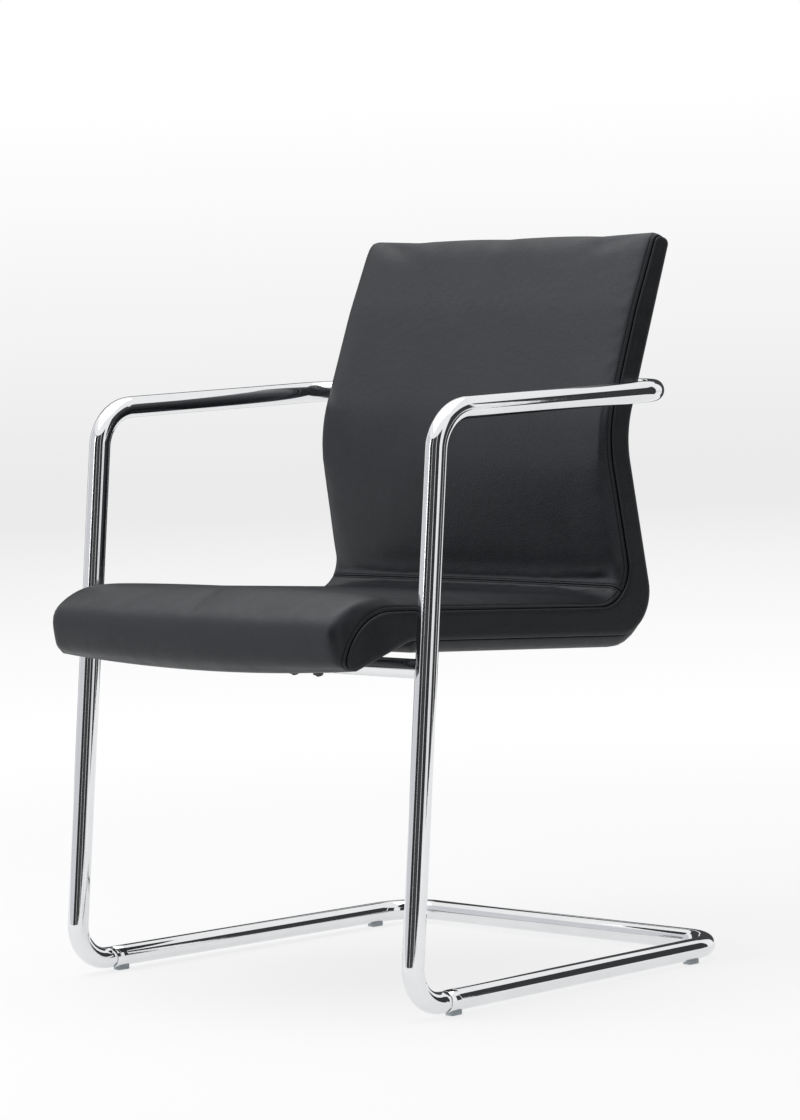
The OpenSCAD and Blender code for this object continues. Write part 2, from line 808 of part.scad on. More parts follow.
// The foam's side of the plywood, and the foam's own ends at the nose and at the top
foam_face = rear_line(skin + ply + layer_gap, ply_front + layer_gap, ply_from_top - layer_gap);
face_seam = 1 + (ARC + 1) + ARC / 2;
face_end = len(foam_face) - 1;
foam_nose = bend_pt - (ply_front + layer_gap) * nose_dir + skin * left_of(nose_dir);
foam_head = top_pt - skin * upper_dir + (skin + ply + layer_gap) * left_of(upper_dir);
// Points from a to b, without a itself
function spread(a, b, n) = [for (i = [1:n]) a + (b - a) * i / n];

// Foam of the seat, which also fills the nose in front of the plywood
module seat_foam() {
    color(foam_grey)
        in_place()
            foam(1, seam_at, concat(
                [foam_nose],
                spread(foam_nose, yz(foam_face[0]), ARC),
                [for (i = [1:face_seam]) yz(foam_face[i])]
            ));
}

// Foam of the back, which also fills the top edge over the plywood
module back_foam() {
    color(foam_grey)
        in_place()
            foam(seam_at, top_end - ARC - 2, concat(
                [for (i = [face_seam:face_end - 1]) yz(foam_face[i])],
                spread(yz(foam_face[face_end - 1]), yz(foam_face[face_end]), ARC + 1),
                spread(yz(foam_face[face_end]), foam_head, ARC + 1)
            ));
}

// Leather of the seat, from under the nose to the seam
module seat_cover() {
    color(leather_black)
        in_place()
            pad_skin(0, seam_at);
}

// Leather of the back, from the seam over the top edge
module back_cover() {
    color(leather_black)
        in_place()
            pad_skin(seam_at, top_end);
}

// Leather of the underside and the rear, one strip from the nose to the top
module outer_cover() {
    outside = rear_line(0, cover_front - layer_gap, cover_rear + layer_gap);
    inside = rear_line(leather, cover_front - layer_gap, cover_rear + layer_gap);
    color(leather_black)
        in_place()
            difference() {
                across_shell(concat(outside, reversed(inside)), band + layer_gap);
                screw_holes(seat_fix, 0, ply_top_at(seat_fix));
                screw_holes(back_fix, 0, ply_top_at(back_fix));
            }
}

// Side outline of the whole shell
shell_outline = [
    each corner_arc(front_pt, nose_pt, bend_pt, tip_r, no_crown, no_crown, ARC),
    each corner_arc(nose_pt, bend_pt, corner_pt, bend_r, no_crown, no_crown, ARC),
    each corner_arc(bend_pt, corner_pt, waist_pt, corner_r, no_crown, no_crown, ARC),
    each corner_arc(corner_pt, waist_pt, top_pt, waist_r, no_crown, no_crown, ARC),
    each corner_arc(waist_pt, top_pt, top_front_pt, top_rear_r, no_crown, no_crown, ARC),
    each corner_arc(top_pt, top_front_pt, head_pt, top_front_r, no_crown, no_crown, ARC),
    each corner_arc(top_front_pt, head_pt, inner_waist_pt, head_r, no_crown, no_crown, ARC),
    each corner_arc(head_pt, inner_waist_pt, inner_corner_pt, inner_waist_r, no_crown, no_crown, ARC),
    each corner_arc(inner_waist_pt, inner_corner_pt, front_pt, heel_r, no_crown, no_crown, ARC),
    each corner_arc(inner_corner_pt, front_pt, nose_pt, front_r, no_crown, no_crown, ARC)
];

// Leather band along one side of seat and back
module side_band(side) {
    color(leather_black)
        in_place()
            on_side(side)
                side_profile(shell_outline, side > 0 ? -band : 0, side > 0 ? 0 : band);
}

// Padded board under the seat, which runs out round the rear corner
module underside_pad() {
    upper = rear_line(-layer_gap, cover_front, cover_rear);
    lower = rear_line(-layer_gap - pad_height, cover_front, cover_rear);
    start = bend_pt + pad_front * seat_dir - layer_gap * left_of(seat_dir);
    corner_at = 1 + ARC + 1;
    steps = ARC * pad_round;
    color(leather_black)
        in_place()
            across_shell([
                start,
                for (i = [0:steps]) yz(upper[corner_at + i]),
                for (i = [steps - 1:-1:0])
                    let(p = yz(upper[corner_at + i]), q = yz(lower[corner_at + i]))
                        p + (q - p) * cos(90 * i / steps),
                start + pad_slope * seat_dir - pad_height * left_of(seat_dir)
            ], pad_inset);
}

runner(-1);  // runner_left
runner(1);  // runner_right
floor_rear_bend();
floor_sleeves();
glides();
joint_plugs();
side_tube(-1);  // side_tube_left
side_tube(1);  // side_tube_right
back_bar();
bar_sleeves();
seat_tube();
saddles(seat_fix);  // seat_saddles
washers(seat_fix);  // seat_washers
screws(seat_fix);  // seat_screws
tee_nuts(seat_fix);  // seat_tee_nuts
saddles(back_fix);  // back_saddles
washers(back_fix);  // back_washers
screws(back_fix);  // back_screws
tee_nuts(back_fix);  // back_tee_nuts
ply_shell();
seat_foam();
back_foam();
seat_cover();
back_cover();
outer_cover();
side_band(-1);  // side_band_left
side_band(1);  // side_band_right
underside_pad();
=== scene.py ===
"""Chrome tube, leather upholstery and studio for a cantilever visitor armchair."""

import functools
import math

import bmesh
import bpy
from bpy.props import FloatProperty, FloatVectorProperty, IntProperty, PointerProperty
from mathutils import Matrix, Vector


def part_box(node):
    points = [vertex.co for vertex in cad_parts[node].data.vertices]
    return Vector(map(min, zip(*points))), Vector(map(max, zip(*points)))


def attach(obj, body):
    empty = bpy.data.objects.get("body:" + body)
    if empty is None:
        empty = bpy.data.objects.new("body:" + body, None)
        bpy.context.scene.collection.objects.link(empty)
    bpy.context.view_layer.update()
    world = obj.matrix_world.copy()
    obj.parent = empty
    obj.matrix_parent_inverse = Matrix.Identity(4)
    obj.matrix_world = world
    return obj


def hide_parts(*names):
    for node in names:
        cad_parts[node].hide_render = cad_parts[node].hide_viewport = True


bl_info = {
    "name": "Cantilever visitor armchair",
    "version": (1, 0, 0),
    "blender": (4, 5, 0),
    "location": "View3D > Sidebar > Armchair",
    "description": "Chrome tube, leather upholstery and studio for a cantilever visitor armchair",
    "category": "Object",
}

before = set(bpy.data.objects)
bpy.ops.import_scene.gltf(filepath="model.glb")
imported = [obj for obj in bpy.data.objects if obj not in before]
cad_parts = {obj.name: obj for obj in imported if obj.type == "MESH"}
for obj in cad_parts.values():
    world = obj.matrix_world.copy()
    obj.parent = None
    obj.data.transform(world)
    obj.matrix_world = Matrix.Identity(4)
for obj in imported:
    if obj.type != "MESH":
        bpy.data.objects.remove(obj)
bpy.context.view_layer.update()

MM = 0.001


def length(name, description, millimetres):
    """Property for a length that is given in millimetres"""
    return FloatProperty(
        name=name, description=description, default=millimetres * MM, subtype="DISTANCE", unit="LENGTH"
    )


def angle(name, description, degrees):
    """Property for an angle that is given in degrees"""
    turn = math.radians(degrees)
    return FloatProperty(
        name=name, description=description, default=turn, subtype="ANGLE", unit="ROTATION"
    )


def colour(name, description, value):
    """Property for a colour that is given as linear red, green and blue"""
    return FloatVectorProperty(
        name=name, description=description, default=value, subtype="COLOR", size=3, min=0.0, max=1.0
    )


class TubeSizes(bpy.types.PropertyGroup):
    """Sizes of the bent tube frame"""

    diameter: length("Diameter", "Outer diameter of the frame tube", 25)
    leg_spacing: length("Leg spacing", "Distance between the front legs", 570)
    rear_spacing: length("Rear spacing", "Distance between the rear floor corners", 530)
    runner_length: length("Runner length", "Front to rear corner of the floor frame", 530)
    floor_height: length("Floor height", "Centre of the floor frame above the floor", 16.5)
    arm_height: length("Arm height", "Arm centre line at its front corner", 668)
    leg_setback: length("Leg setback", "How far the legs lean back", 74)
    front_bend: length("Front bends", "Radius of the front bends at the floor", 41)
    arm_bend: length("Arm bends", "Radius of the front bends at the arms", 50)
    arm_end_bend: length("Arm end bends", "Radius of the bends behind the back", 60)
    floor_bend: length("Floor bends", "Radius of the rear floor corners", 55)
    joint: length("Joint", "Place of the joint behind the front floor bend", 7)
    joint_gap: length("Joint gap", "Open gap in the tube at the joint", 1.2)
    glide_width: length("Glide width", "Width of a glide", 13)
    glide_length: length("Glide length", "Length of a glide along the runner", 17)
    sides: IntProperty(name="Sides", description="Faces round the tube", default=48, min=12)


class ShellSizes(bpy.types.PropertyGroup):
    """Sizes of the upholstered shell"""

    width: length("Width", "Width of the shell at the seat", 492)
    top_width: length("Top width", "Width of the shell at its top edge", 482)
    bend_height: length("Bend height", "Height of the bend in the underside", 414)
    bend_setback: length("Bend setback", "Place of that bend behind the front corners", 58)
    nose_length: length("Nose length", "Length of the drooping front edge", 112)
    nose_drop: angle("Nose drop", "Slope of the front edge", 17.4)
    nose_lean: angle("Nose lean", "Lean of the front face", 25)
    seat_length: length("Seat length", "Length of the seat's underside", 398)
    seat_tilt: angle("Seat tilt", "Rearward slope of the seat", 3.9)
    waist_drop: length("Waist drop", "Height of the arms above the waist of the back", 46.5)
    lumbar_lean: angle("Lumbar lean", "Forward lean of the lower back", 9.2)
    upper_back: length("Upper back", "Length of the upper back", 238)
    back_lean: angle("Back lean", "Rearward lean of the upper back", 21.3)
    seat_pad: length("Seat pad", "Thickness of the seat at its side", 32.5)
    back_pad: length("Back pad", "Thickness of the back at its side", 27.5)
    top_pad: length("Top pad", "Thickness of the back at its top edge", 21.5)
    head_length: length("Head length", "Length over which the back thins to its top", 95)
    band: length("Band", "Thickness of the side bands with their gap", 1.9)
    bend_radius: length("Bend radius", "Radius of the underside bend", 40)
    corner_radius: length("Corner radius", "Outer radius between seat and back", 50)
    heel_radius: length("Heel radius", "Inner radius between seat and back", 45)
    waist_radius: length("Waist radius", "Outer radius of the waist", 118)
    tip_radius: length("Tip radius", "Radius at the tip of the nose", 11.5)
    front_radius: length("Front radius", "Radius over the front of the seat", 70)
    head_radius: length("Head radius", "Radius where the back begins to thin", 300)
    top_front_radius: length("Top front radius", "Radius of the front top edge", 10)
    top_rear_radius: length("Top rear radius", "Radius of the rear top edge", 7)
    edge_roll: length("Edge roll", "Width of the rounded sides of the padding", 13)
    cover_front: length("Cover front", "Seat leather's end ahead of the underside bend", 73)
    cover_rear: length("Cover rear", "Back leather's end below the top edge", 18)
    pad_front: length("Pad front", "Underside pad behind the underside bend", 6)
    pad_round: FloatProperty(
        name="Pad round",
        description="Share of the rear corner that the underside pad follows",
        default=0.625,
    )
    pad_height: length("Pad height", "Thickness of the underside pad", 15.5)


class SewingSizes(bpy.types.PropertyGroup):
    """Sizes of seams, stitches and the swelling of the pads"""

    pitch: length("Stitch pitch", "Distance between stitches", 3.3)
    stitch: length("Stitch length", "Length of one stitch", 2.1)
    thread: length("Thread", "Diameter of the thread", 1.1)
    side_row: length("Side row", "Distance of the stitching from a side seam", 6)
    margin: length("Margin", "Distance of the stitching from a cross seam", 3.4)
    seam_depth: length("Seam depth", "Depth of a seam between two leathers", 1.5)
    groove: length("Groove", "Depth to which a row of stitches draws in", 0.5)
    swelling: length("Swelling", "Most that a pad swells over its form", 4)
    grid: length("Grid", "Spacing of the pads' faces", 9)
    crease: length("Crease", "Depth of the crease across the nose", 1.4)
    crease_rise: length("Crease rise", "Height of that crease above the nose's lower edge", 27)


class Finishes(bpy.types.PropertyGroup):
    """Colours of the chair"""

    leather: colour("Leather", "Black leather of seat and back", (0.0100, 0.0108, 0.0128))
    chrome: colour("Chrome", "Polished tube", (0.80, 0.81, 0.82))
    thread: colour("Thread", "Sewing thread", (0.002, 0.002, 0.0024))
    glide: colour("Glides", "Grey plastic of the glides", (0.50, 0.55, 0.58))
    floor: colour("Floor", "Floor under the chair", (0.90, 0.905, 0.905))


class StudioSettings(bpy.types.PropertyGroup):
    """Light level of the studio"""

    ambient: FloatProperty(name="Ambient", description="Light from all round", default=0.34)
    ceiling: FloatProperty(name="Ceiling", description="Power of the ceiling light", default=64.0)
    key: FloatProperty(name="Key", description="Power of the front light", default=50.0)
    floor_white: FloatProperty(
        name="Floor white", description="Share of plain white in the floor by the chair", default=0.75
    )


def props():
    """The chair's sizes, colours and light levels"""
    return bpy.context.scene.armchair


class Armchair(bpy.types.PropertyGroup):
    """Everything that a user would change"""

    tube: PointerProperty(type=TubeSizes)
    shell: PointerProperty(type=ShellSizes)
    sewing: PointerProperty(type=SewingSizes)
    finish: PointerProperty(type=Finishes)
    studio: PointerProperty(type=StudioSettings)


def smooth(low, high, value):
    """Soft step from 0 at low to 1 at high"""
    t = min(max((value - low) / (high - low), 0.0), 1.0)
    return t * t * (3 - 2 * t)


def front_corner_y():
    """Row's y at the front floor corners, from the rear face of the floor frame"""
    tube = props().tube
    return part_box("floor_rear_bend")[1].y - tube.runner_length - tube.diameter / 2


def new_piece(name, bm, material, body=None, replaced=()):
    """Makes an object of a finished bmesh, smooth shaded, at the origin"""
    mesh = bpy.data.meshes.new(name)
    bm.to_mesh(mesh)
    bm.free()
    mesh.polygons.foreach_set("use_smooth", [True] * len(mesh.polygons))
    piece = bpy.data.objects.new(name, mesh)
    bpy.context.scene.collection.objects.link(piece)
    mesh.materials.append(material)
    if replaced:
        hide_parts(*replaced)
    if body:
        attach(piece, body)
    return piece


def add_node(tree, kind, settings=None, **values):
    """Adds a shader node with its settings and its socket values"""
    made = tree.nodes.new(kind)
    for key, value in (settings or {}).items():
        setattr(made, key, value)
    for key, value in values.items():
        made.inputs[key.replace("_", " ")].default_value = value
    return made


def new_material(name):
    """A material with its node tree, its shader and the place on the piece"""
    material = bpy.data.materials.new(name)
    material.use_nodes = True
    tree = material.node_tree
    shader = tree.nodes["Principled BSDF"]
    place = add_node(tree, "ShaderNodeTexCoord").outputs["Object"]
    return material, tree, shader, place


def noise(tree, place, scale, detail=3.0, roughness=0.55):
    """Cloudy variation, as fine as its scale is high"""
    made = add_node(tree, "ShaderNodeTexNoise", Scale=scale, Detail=detail, Roughness=roughness)
    tree.links.new(place, made.inputs["Vector"])
    return made.outputs["Fac"]


# The part of its range in which noise varies
NOISE_RANGE = (0.3, 0.7)


def ramp(tree, factor, low, high, start=NOISE_RANGE[0], end=NOISE_RANGE[1]):
    """Colour that runs from low to high while the factor runs from start to end"""
    made = add_node(tree, "ShaderNodeValToRGB")
    made.color_ramp.elements[0].position = start
    made.color_ramp.elements[1].position = end
    made.color_ramp.elements[0].color = (*low, 1)
    made.color_ramp.elements[1].color = (*high, 1)
    tree.links.new(factor, made.inputs["Fac"])
    return made.outputs["Color"]


def remap(tree, factor, low, high, start=NOISE_RANGE[0], end=NOISE_RANGE[1], kind="LINEAR"):
    """Value that runs from low to high while the factor runs from start to end"""
    made = add_node(
        tree,
        "ShaderNodeMapRange",
        {"interpolation_type": kind},
        From_Min=start,
        From_Max=end,
        To_Min=low,
        To_Max=high,
    )
    tree.links.new(factor, made.inputs["Value"])
    return made.outputs["Result"]


def combine(tree, operation, first, second, clamp=False):
    """Value that a sum, product or the like makes of two values"""
    made = add_node(tree, "ShaderNodeMath", {"operation": operation, "use_clamp": clamp})
    tree.links.new(first, made.inputs[0])
    tree.links.new(second, made.inputs[1])
    return made.outputs[0]


def show_mix(tree, share, first, second, output):
    """Sends a mix of two shaders to the tree's output, with the second by a share"""
    made = add_node(tree, "ShaderNodeMixShader")
    for source, socket in zip((share, first, second), made.inputs):
        tree.links.new(source, socket)
    tree.links.new(made.outputs[0], tree.nodes[output].inputs["Surface"])


def bump(tree, height, shader, distance, strength=1.0, below=None):
    """Roughens the shader's surface, on top of the bump below where there is one"""
    made = add_node(tree, "ShaderNodeBump", Strength=strength, Distance=distance)
    tree.links.new(height, made.inputs["Height"])
    if below:
        tree.links.new(below.outputs["Normal"], made.inputs["Normal"])
    tree.links.new(made.outputs["Normal"], shader.inputs["Normal"])
    return made


def shade(value, factor):
    """Darker or lighter tone of a colour"""
    return tuple(min(1.0, c * factor) for c in value)


def leather(name, base):
    """Pebbled, lightly glazed leather with faint creases and cloudy colour, with painted shade in its
    seam grooves and stitch grooves
    """
    material, tree, shader, place = new_material(name)
    cloud = noise(tree, place, 14, 4.0)
    # Layer that Pad.build fills with painted shade for the seam grooves and stitch grooves; it also
    # roughens them
    seam = add_node(tree, "ShaderNodeAttribute", {"attribute_name": "seam"}).outputs["Fac"]
    darker = add_node(tree, "ShaderNodeMix", {"data_type": "RGBA"})
    tree.links.new(seam, darker.inputs["Factor"])
    tree.links.new(ramp(tree, cloud, shade(base, 0.86), shade(base, 1.16)), darker.inputs[6])
    # Colour of the painted seam shade: the leather's tone times 0.12
    darker.inputs[7].default_value = (*shade(base, 0.12), 1)
    tree.links.new(darker.outputs[2], shader.inputs["Base Color"])
    rub = remap(tree, noise(tree, place, 38, 5.0, 0.6), 0.40, 0.50)
    tree.links.new(combine(tree, "ADD", rub, seam, True), shader.inputs["Roughness"])
    shader.inputs["Specular IOR Level"].default_value = 0.34
    shader.inputs["Specular Tint"].default_value = (0.90, 0.94, 1.0, 1)
    pebbles = add_node(
        tree,
        "ShaderNodeTexVoronoi",
        {"feature": "SMOOTH_F1"},
        Scale=620.0,
        Smoothness=0.5,
        Randomness=0.9,
    )
    tree.links.new(place, pebbles.inputs["Vector"])
    grain = bump(tree, pebbles.outputs["Distance"], shader, 0.00022, 0.55)
    bump(tree, noise(tree, place, 95, 6.0, 0.6), shader, 0.0007, 0.5, grain)
    return material


def hard_finish(name, base, spots, tones, rub, rough, grain, relief):
    """Finish whose colour, gloss and grain vary, each with a noise of its own scale and detail"""
    material, tree, shader, place = new_material(name)
    colours = [shade(base, tone) for tone in tones]
    tree.links.new(ramp(tree, noise(tree, place, *spots), *colours), shader.inputs["Base Color"])
    tree.links.new(remap(tree, noise(tree, place, *rub), *rough), shader.inputs["Roughness"])
    bump(tree, noise(tree, place, *grain), shader, *relief)
    return material, shader


def polished(name, base):
    """Chrome plate with a hint of haze and a faint cloudy relief"""
    material, shader = hard_finish(
        name, base, (26, 4.0), (0.97, 1.02), (60, 5.0), (0.035, 0.075), (45, 3.0), (0.0001, 0.25)
    )
    shader.inputs["Metallic"].default_value = 1.0
    return material


def satin_metal(name, base, rough):
    """Dull, slightly spotted metal"""
    gloss = (rough, rough + 0.12)
    material, shader = hard_finish(
        name, base, (160, 5.0), (0.85, 1.1), (300, 4.0), gloss, (900, 3.0), (0.00005, 0.4)
    )
    shader.inputs["Metallic"].default_value = 1.0
    return material


def plastic(name, base, rough, clear=0.0):
    """Moulded plastic, into which a little light may pass"""
    gloss = (rough, rough + 0.08)
    material, shader = hard_finish(
        name, base, (60, 3.0), (0.93, 1.07), (220, 3.0), gloss, (1400, 2.0), (0.00003, 0.4)
    )
    shader.inputs["Subsurface Weight"].default_value = clear
    shader.inputs["Subsurface Radius"].default_value = (0.002, 0.002, 0.002)
    return material


def veneer(name, base):
    """Birch plywood: long fibres across the chair"""
    material, tree, shader, place = new_material(name)
    turn = add_node(tree, "ShaderNodeMapping", Scale=(4.0, 60.0, 60.0))
    tree.links.new(place, turn.inputs["Vector"])
    fibres = noise(tree, turn.outputs["Vector"], 6, 6.0)
    tree.links.new(ramp(tree, fibres, shade(base, 0.7), shade(base, 1.1)), shader.inputs["Base Color"])
    shader.inputs["Roughness"].default_value = 0.55
    bump(tree, fibres, shader, 0.0002, 0.4)
    return material


def thread_finish(name, base):
    """Matt sewing thread with darker and lighter fibres"""
    material, tree, shader, place = new_material(name)
    fibre = noise(tree, place, 2600, 2.0)
    tree.links.new(ramp(tree, fibre, shade(base, 0.6), shade(base, 1.6)), shader.inputs["Base Color"])
    shader.inputs["Roughness"].default_value = 0.6
    shader.inputs["Specular IOR Level"].default_value = 0.08
    return material


class Finish:
    """The chair's materials, each made once"""

    made = {}

    @classmethod
    def get(cls, name):
        if name not in cls.made:
            f = props().finish
            makers = {
                "leather": lambda: leather("black_leather", f.leather),
                "chrome": lambda: polished("chrome_plate", f.chrome),
                "steel": lambda: satin_metal("bare_steel", (0.42, 0.43, 0.44), 0.3),
                "zinc": lambda: satin_metal("black_zinc", (0.06, 0.06, 0.065), 0.34),
                "nylon": lambda: plastic("black_nylon", (0.012, 0.012, 0.013), 0.42),
                "glide": lambda: plastic("grey_glide", f.glide, 0.25, 0.35),
                "plywood": lambda: veneer("birch_plywood", (0.58, 0.40, 0.22)),
                "thread": lambda: thread_finish("black_thread", f.thread),
            }
            cls.made[name] = makers[name]()
        return cls.made[name]


def directed(x, y, z, place):
    """Matrix that turns a shape's X, Y and Z to three directions and moves it to a place"""
    return Matrix((
        (x.x, y.x, z.x, place.x),
        (x.y, y.y, z.y, place.y),
        (x.z, y.z, z.z, place.z),
        (0, 0, 0, 1),
    ))


def extrude_row(bm, edges):
    """Extrudes a row or ring of edges and gives its new vertices and edges"""
    geom = bmesh.ops.extrude_edge_only(bm, edges=edges)["geom"]
    verts = [g for g in geom if isinstance(g, bmesh.types.BMVert)]
    fresh = set(verts)
    return verts, [
        g for g in geom if isinstance(g, bmesh.types.BMEdge) and all(v in fresh for v in g.verts)
    ]


def follow(chain, verts):
    """The new vertices in the order of the ones that they were extruded from"""
    fresh = set(verts)
    return [next(o for e in v.link_edges for o in [e.other_vert(v)] if o in fresh) for v in chain]


def lay_columns(bm, count, columns, lay):
    """Extrudes a row of vertices from column to column, and lay puts each row in its place"""
    chain = [bm.verts.new((0, 0, k)) for k in range(count)]
    edges = [bm.edges.new(pair) for pair in zip(chain, chain[1:])]
    lay(chain, columns[0])
    for column in columns[1:]:
        verts, edges = extrude_row(bm, edges)
        chain = follow(chain, verts)
        lay(chain, column)


def mirror_half(bm, merge):
    """Adds the mirrored half of the chair and merges what meets in the middle"""
    geom = bm.verts[:] + bm.edges[:] + bm.faces[:]
    bmesh.ops.mirror(bm, geom=geom, matrix=Matrix.Identity(4), merge_dist=merge, axis="X")
    bmesh.ops.remove_doubles(bm, verts=bm.verts, dist=merge / 10)


def close_rim(bm):
    """Fills the open edges and turns the faces outwards"""
    rim = [e for e in bm.edges if e.is_boundary]
    bmesh.ops.holes_fill(bm, edges=rim, sides=0)
    bmesh.ops.recalc_face_normals(bm, faces=bm.faces)


def ring_frame(point, direction, across):
    """Matrix whose Z runs along direction and whose X lies nearest to across"""
    z = direction.normalized()
    x = (across - z * across.dot(z)).normalized()
    return directed(x, z.cross(x), z, point)


# Faces of a tube: the length of one on the straights, and the degrees of one round a bend
TUBE_STEP = 0.015
BEND_STEP = 3


def draw_tube(bm, path, radii, radius, sides):
    """Sweeps a ring along straights and round bends, with extrude and spin"""
    start = ring_frame(path[0], path[1] - path[0], Vector((0, 0, 1)))
    made = bmesh.ops.create_circle(bm, segments=sides, radius=radius, matrix=start)
    ring = list({e for v in made["verts"] for e in v.link_edges})
    for i in range(1, len(path)):
        u = (path[i] - path[i - 1]).normalized()
        before = radii[i - 1] * math.tan(turn_at(path, i - 1) / 2) if i > 1 else 0.0
        after = radii[i] * math.tan(turn_at(path, i) / 2) if i < len(path) - 1 else 0.0
        run = (path[i] - path[i - 1]).length - before - after
        steps = max(1, round(run / TUBE_STEP))
        for _ in range(steps):
            verts, ring = extrude_row(bm, ring)
            bmesh.ops.translate(bm, verts=verts, vec=u * (run / steps))
        if i == len(path) - 1:
            return ring
        w = (path[i + 1] - path[i]).normalized()
        turn = turn_at(path, i)
        spoke = (w - u).normalized()
        centre = path[i] + spoke * (radii[i] / math.cos(turn / 2))
        bent = bmesh.ops.spin(
            bm,
            geom=ring,
            cent=centre,
            axis=u.cross(w).normalized(),
            angle=turn,
            steps=max(8, round(math.degrees(turn) / BEND_STEP)),
            use_duplicate=False,
        )
        ring = [g for g in bent["geom_last"] if isinstance(g, bmesh.types.BMEdge)]
        verts = list({v for e in ring for v in e.verts})
        here = sum((v.co for v in verts), Vector()) / len(verts)
        expected = path[i] + w * radii[i] * math.tan(turn / 2)
        if (here - expected).length > 1e-4:
            raise RuntimeError(f"the bend at corner {i} ends {here - expected} away from its straight")
    return ring


def turn_at(path, i):
    """Angle by which the path turns at one of its corners"""
    return (path[i] - path[i - 1]).angle(path[i + 1] - path[i])


# Steps that round and close a tube's end: millimetres inwards and millimetres out along the tube
TUBE_END = ((0.25, 0.15), (0.35, 0.05), (1.4, 0.0), (0.1, -0.6))


class TubeFrame(bpy.types.Operator):
    """Make the bent chrome tube: a floor loop and the legs, arms and rear bar above it"""

    bl_idname = "armchair.tube_frame"
    bl_label = "Tube frame"

    def execute(self, context):
        t = props().tube
        y = front_corner_y()
        low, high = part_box("back_bar")
        bar = (low + high) / 2
        half, rear = t.leg_spacing / 2, t.rear_spacing / 2
        foot = Vector((half, y, t.floor_height))
        arm = Vector((half, y + t.leg_setback, t.arm_height))
        corner = Vector((rear, y + t.runner_length, t.floor_height))
        runner = (corner - foot).normalized()
        setoff = t.front_bend * math.tan((foot - arm).angle(runner) / 2)
        joint = foot + runner * (setoff + t.joint)
        gap = runner * t.joint_gap / 2
        self.loop(
            "floor_loop",
            [joint + gap, corner, Vector((0, corner.y, corner.z))],
            [0, t.floor_bend, 0],
            "floor_frame",
            ("runner_left", "runner_right", "floor_rear_bend"),
        )
        self.loop(
            "arm_loop",
            [joint - gap, foot, arm, Vector((half, bar.y, bar.z)), Vector((0, bar.y, bar.z))],
            [0, t.front_bend, t.arm_bend, t.arm_end_bend, 0],
            "swing_frame",
            ("side_tube_left", "side_tube_right", "back_bar"),
        )
        return {"FINISHED"}

    @staticmethod
    def loop(name, path, radii, body, replaced):
        """Half of a loop of tube with a capped, rounded end, mirrored to the whole"""
        t = props().tube
        bm = bmesh.new()
        draw_tube(bm, path, radii, t.diameter / 2, t.sides)
        start = (path[1] - path[0]).normalized()
        near = {v for v in bm.verts if (v.co - path[0]).length < t.diameter}
        end = [e for e in bm.edges if e.is_boundary and all(v in near for v in e.verts)]
        for inset, depth in TUBE_END:
            verts, end = extrude_row(bm, end)
            for v in verts:
                v.co += (path[0] - v.co).normalized() * inset * MM - start * depth * MM
        bmesh.ops.holes_fill(bm, edges=end, sides=0)
        mirror_half(bm, 1e-5)
        bmesh.ops.recalc_face_normals(bm, faces=bm.faces)
        return new_piece(name, bm, Finish.get("chrome"), body, replaced)


# How far a glide reaches up round its tube, and the rounding of its upright and lower edges
GLIDE_GRIP = 0.0022
GLIDE_EDGES = ((0.003, 5), (0.0008, 3))


class Glides(bpy.types.Operator):
    """Make the plastic glides clipped under the runners"""

    bl_idname = "armchair.glides"
    bl_label = "Glides"

    def execute(self, context):
        t = props().tube
        lean = math.atan((t.leg_spacing - t.rear_spacing) / 2 / t.runner_length)
        top = t.floor_height - t.diameter / 2 + GLIDE_GRIP
        points = [v.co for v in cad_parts["glides"].data.vertices]
        bm = bmesh.new()
        for right, rear in sorted({(p.x > 0, p.y > 0) for p in points}):
            own = [p for p in points if (p.x > 0, p.y > 0) == (right, rear)]
            low = Vector([min(axis) for axis in zip(*own)])
            high = Vector([max(axis) for axis in zip(*own)])
            self.block(bm, t.glide_width, t.glide_length, top - low.z)
            own = [v for v in bm.verts if v.co.length < t.glide_length * 2]
            turn = Matrix.Rotation(lean if right else -lean, 3, "Z")
            bmesh.ops.rotate(bm, verts=own, cent=(0, 0, 0), matrix=turn)
            middle = (low + high) / 2
            bmesh.ops.translate(bm, verts=own, vec=(middle.x, middle.y, (top + low.z) / 2))
        bmesh.ops.recalc_face_normals(bm, faces=bm.faces)
        new_piece("glide_blocks", bm, Finish.get("glide"), "floor_frame", ("glides",))
        return {"FINISHED"}

    @staticmethod
    def block(bm, width, depth, height):
        """Adds a rounded block round the origin"""
        made = bmesh.ops.create_cube(bm, size=1.0)["verts"]
        bmesh.ops.scale(bm, verts=made, vec=(width, depth, height))
        edges = {e for v in made for e in v.link_edges}
        edges = [e for e in edges if abs(e.verts[0].co.z - e.verts[1].co.z) > height / 2]
        for offset, segments in GLIDE_EDGES:
            bmesh.ops.bevel(
                bm,
                geom=edges,
                affect="EDGES",
                offset=offset,
                segments=segments,
                profile=0.5,
                material=-1,
            )
            own = [v for v in bm.verts if v.co.length < depth * 2]
            edges = {e for v in own for e in v.link_edges if all(x.co.z < 0 for x in e.verts)}
            edges = list(edges)


def left_of(d):
    """The direction a quarter turn to the left"""
    return Vector((-d.y, d.x))


def cross2(a, b):
    """Cross product of two flat vectors"""
    return a.x * b.y - a.y * b.x


def meet(p, u, q, v):
    """Where the line through p along u meets the line through q along v"""
    return p + u * (cross2(q - p, v) / cross2(u, v))


def corner_arc(a, b, c, radius, steps=24):
    """Points of the rounded corner b between a and c"""
    u, v = (a - b).normalized(), (c - b).normalized()
    half = math.acos(max(-1.0, min(1.0, u.dot(v)))) / 2
    middle = b + (u + v).normalized() * radius / math.sin(half)
    spoke = b + u * radius / math.tan(half) - middle
    sweep = (math.pi - 2 * half) * (1 if cross2(b - a, c - b) > 0 else -1)
    return [middle + Matrix.Rotation(sweep * i / steps, 2) @ spoke for i in range(steps + 1)]


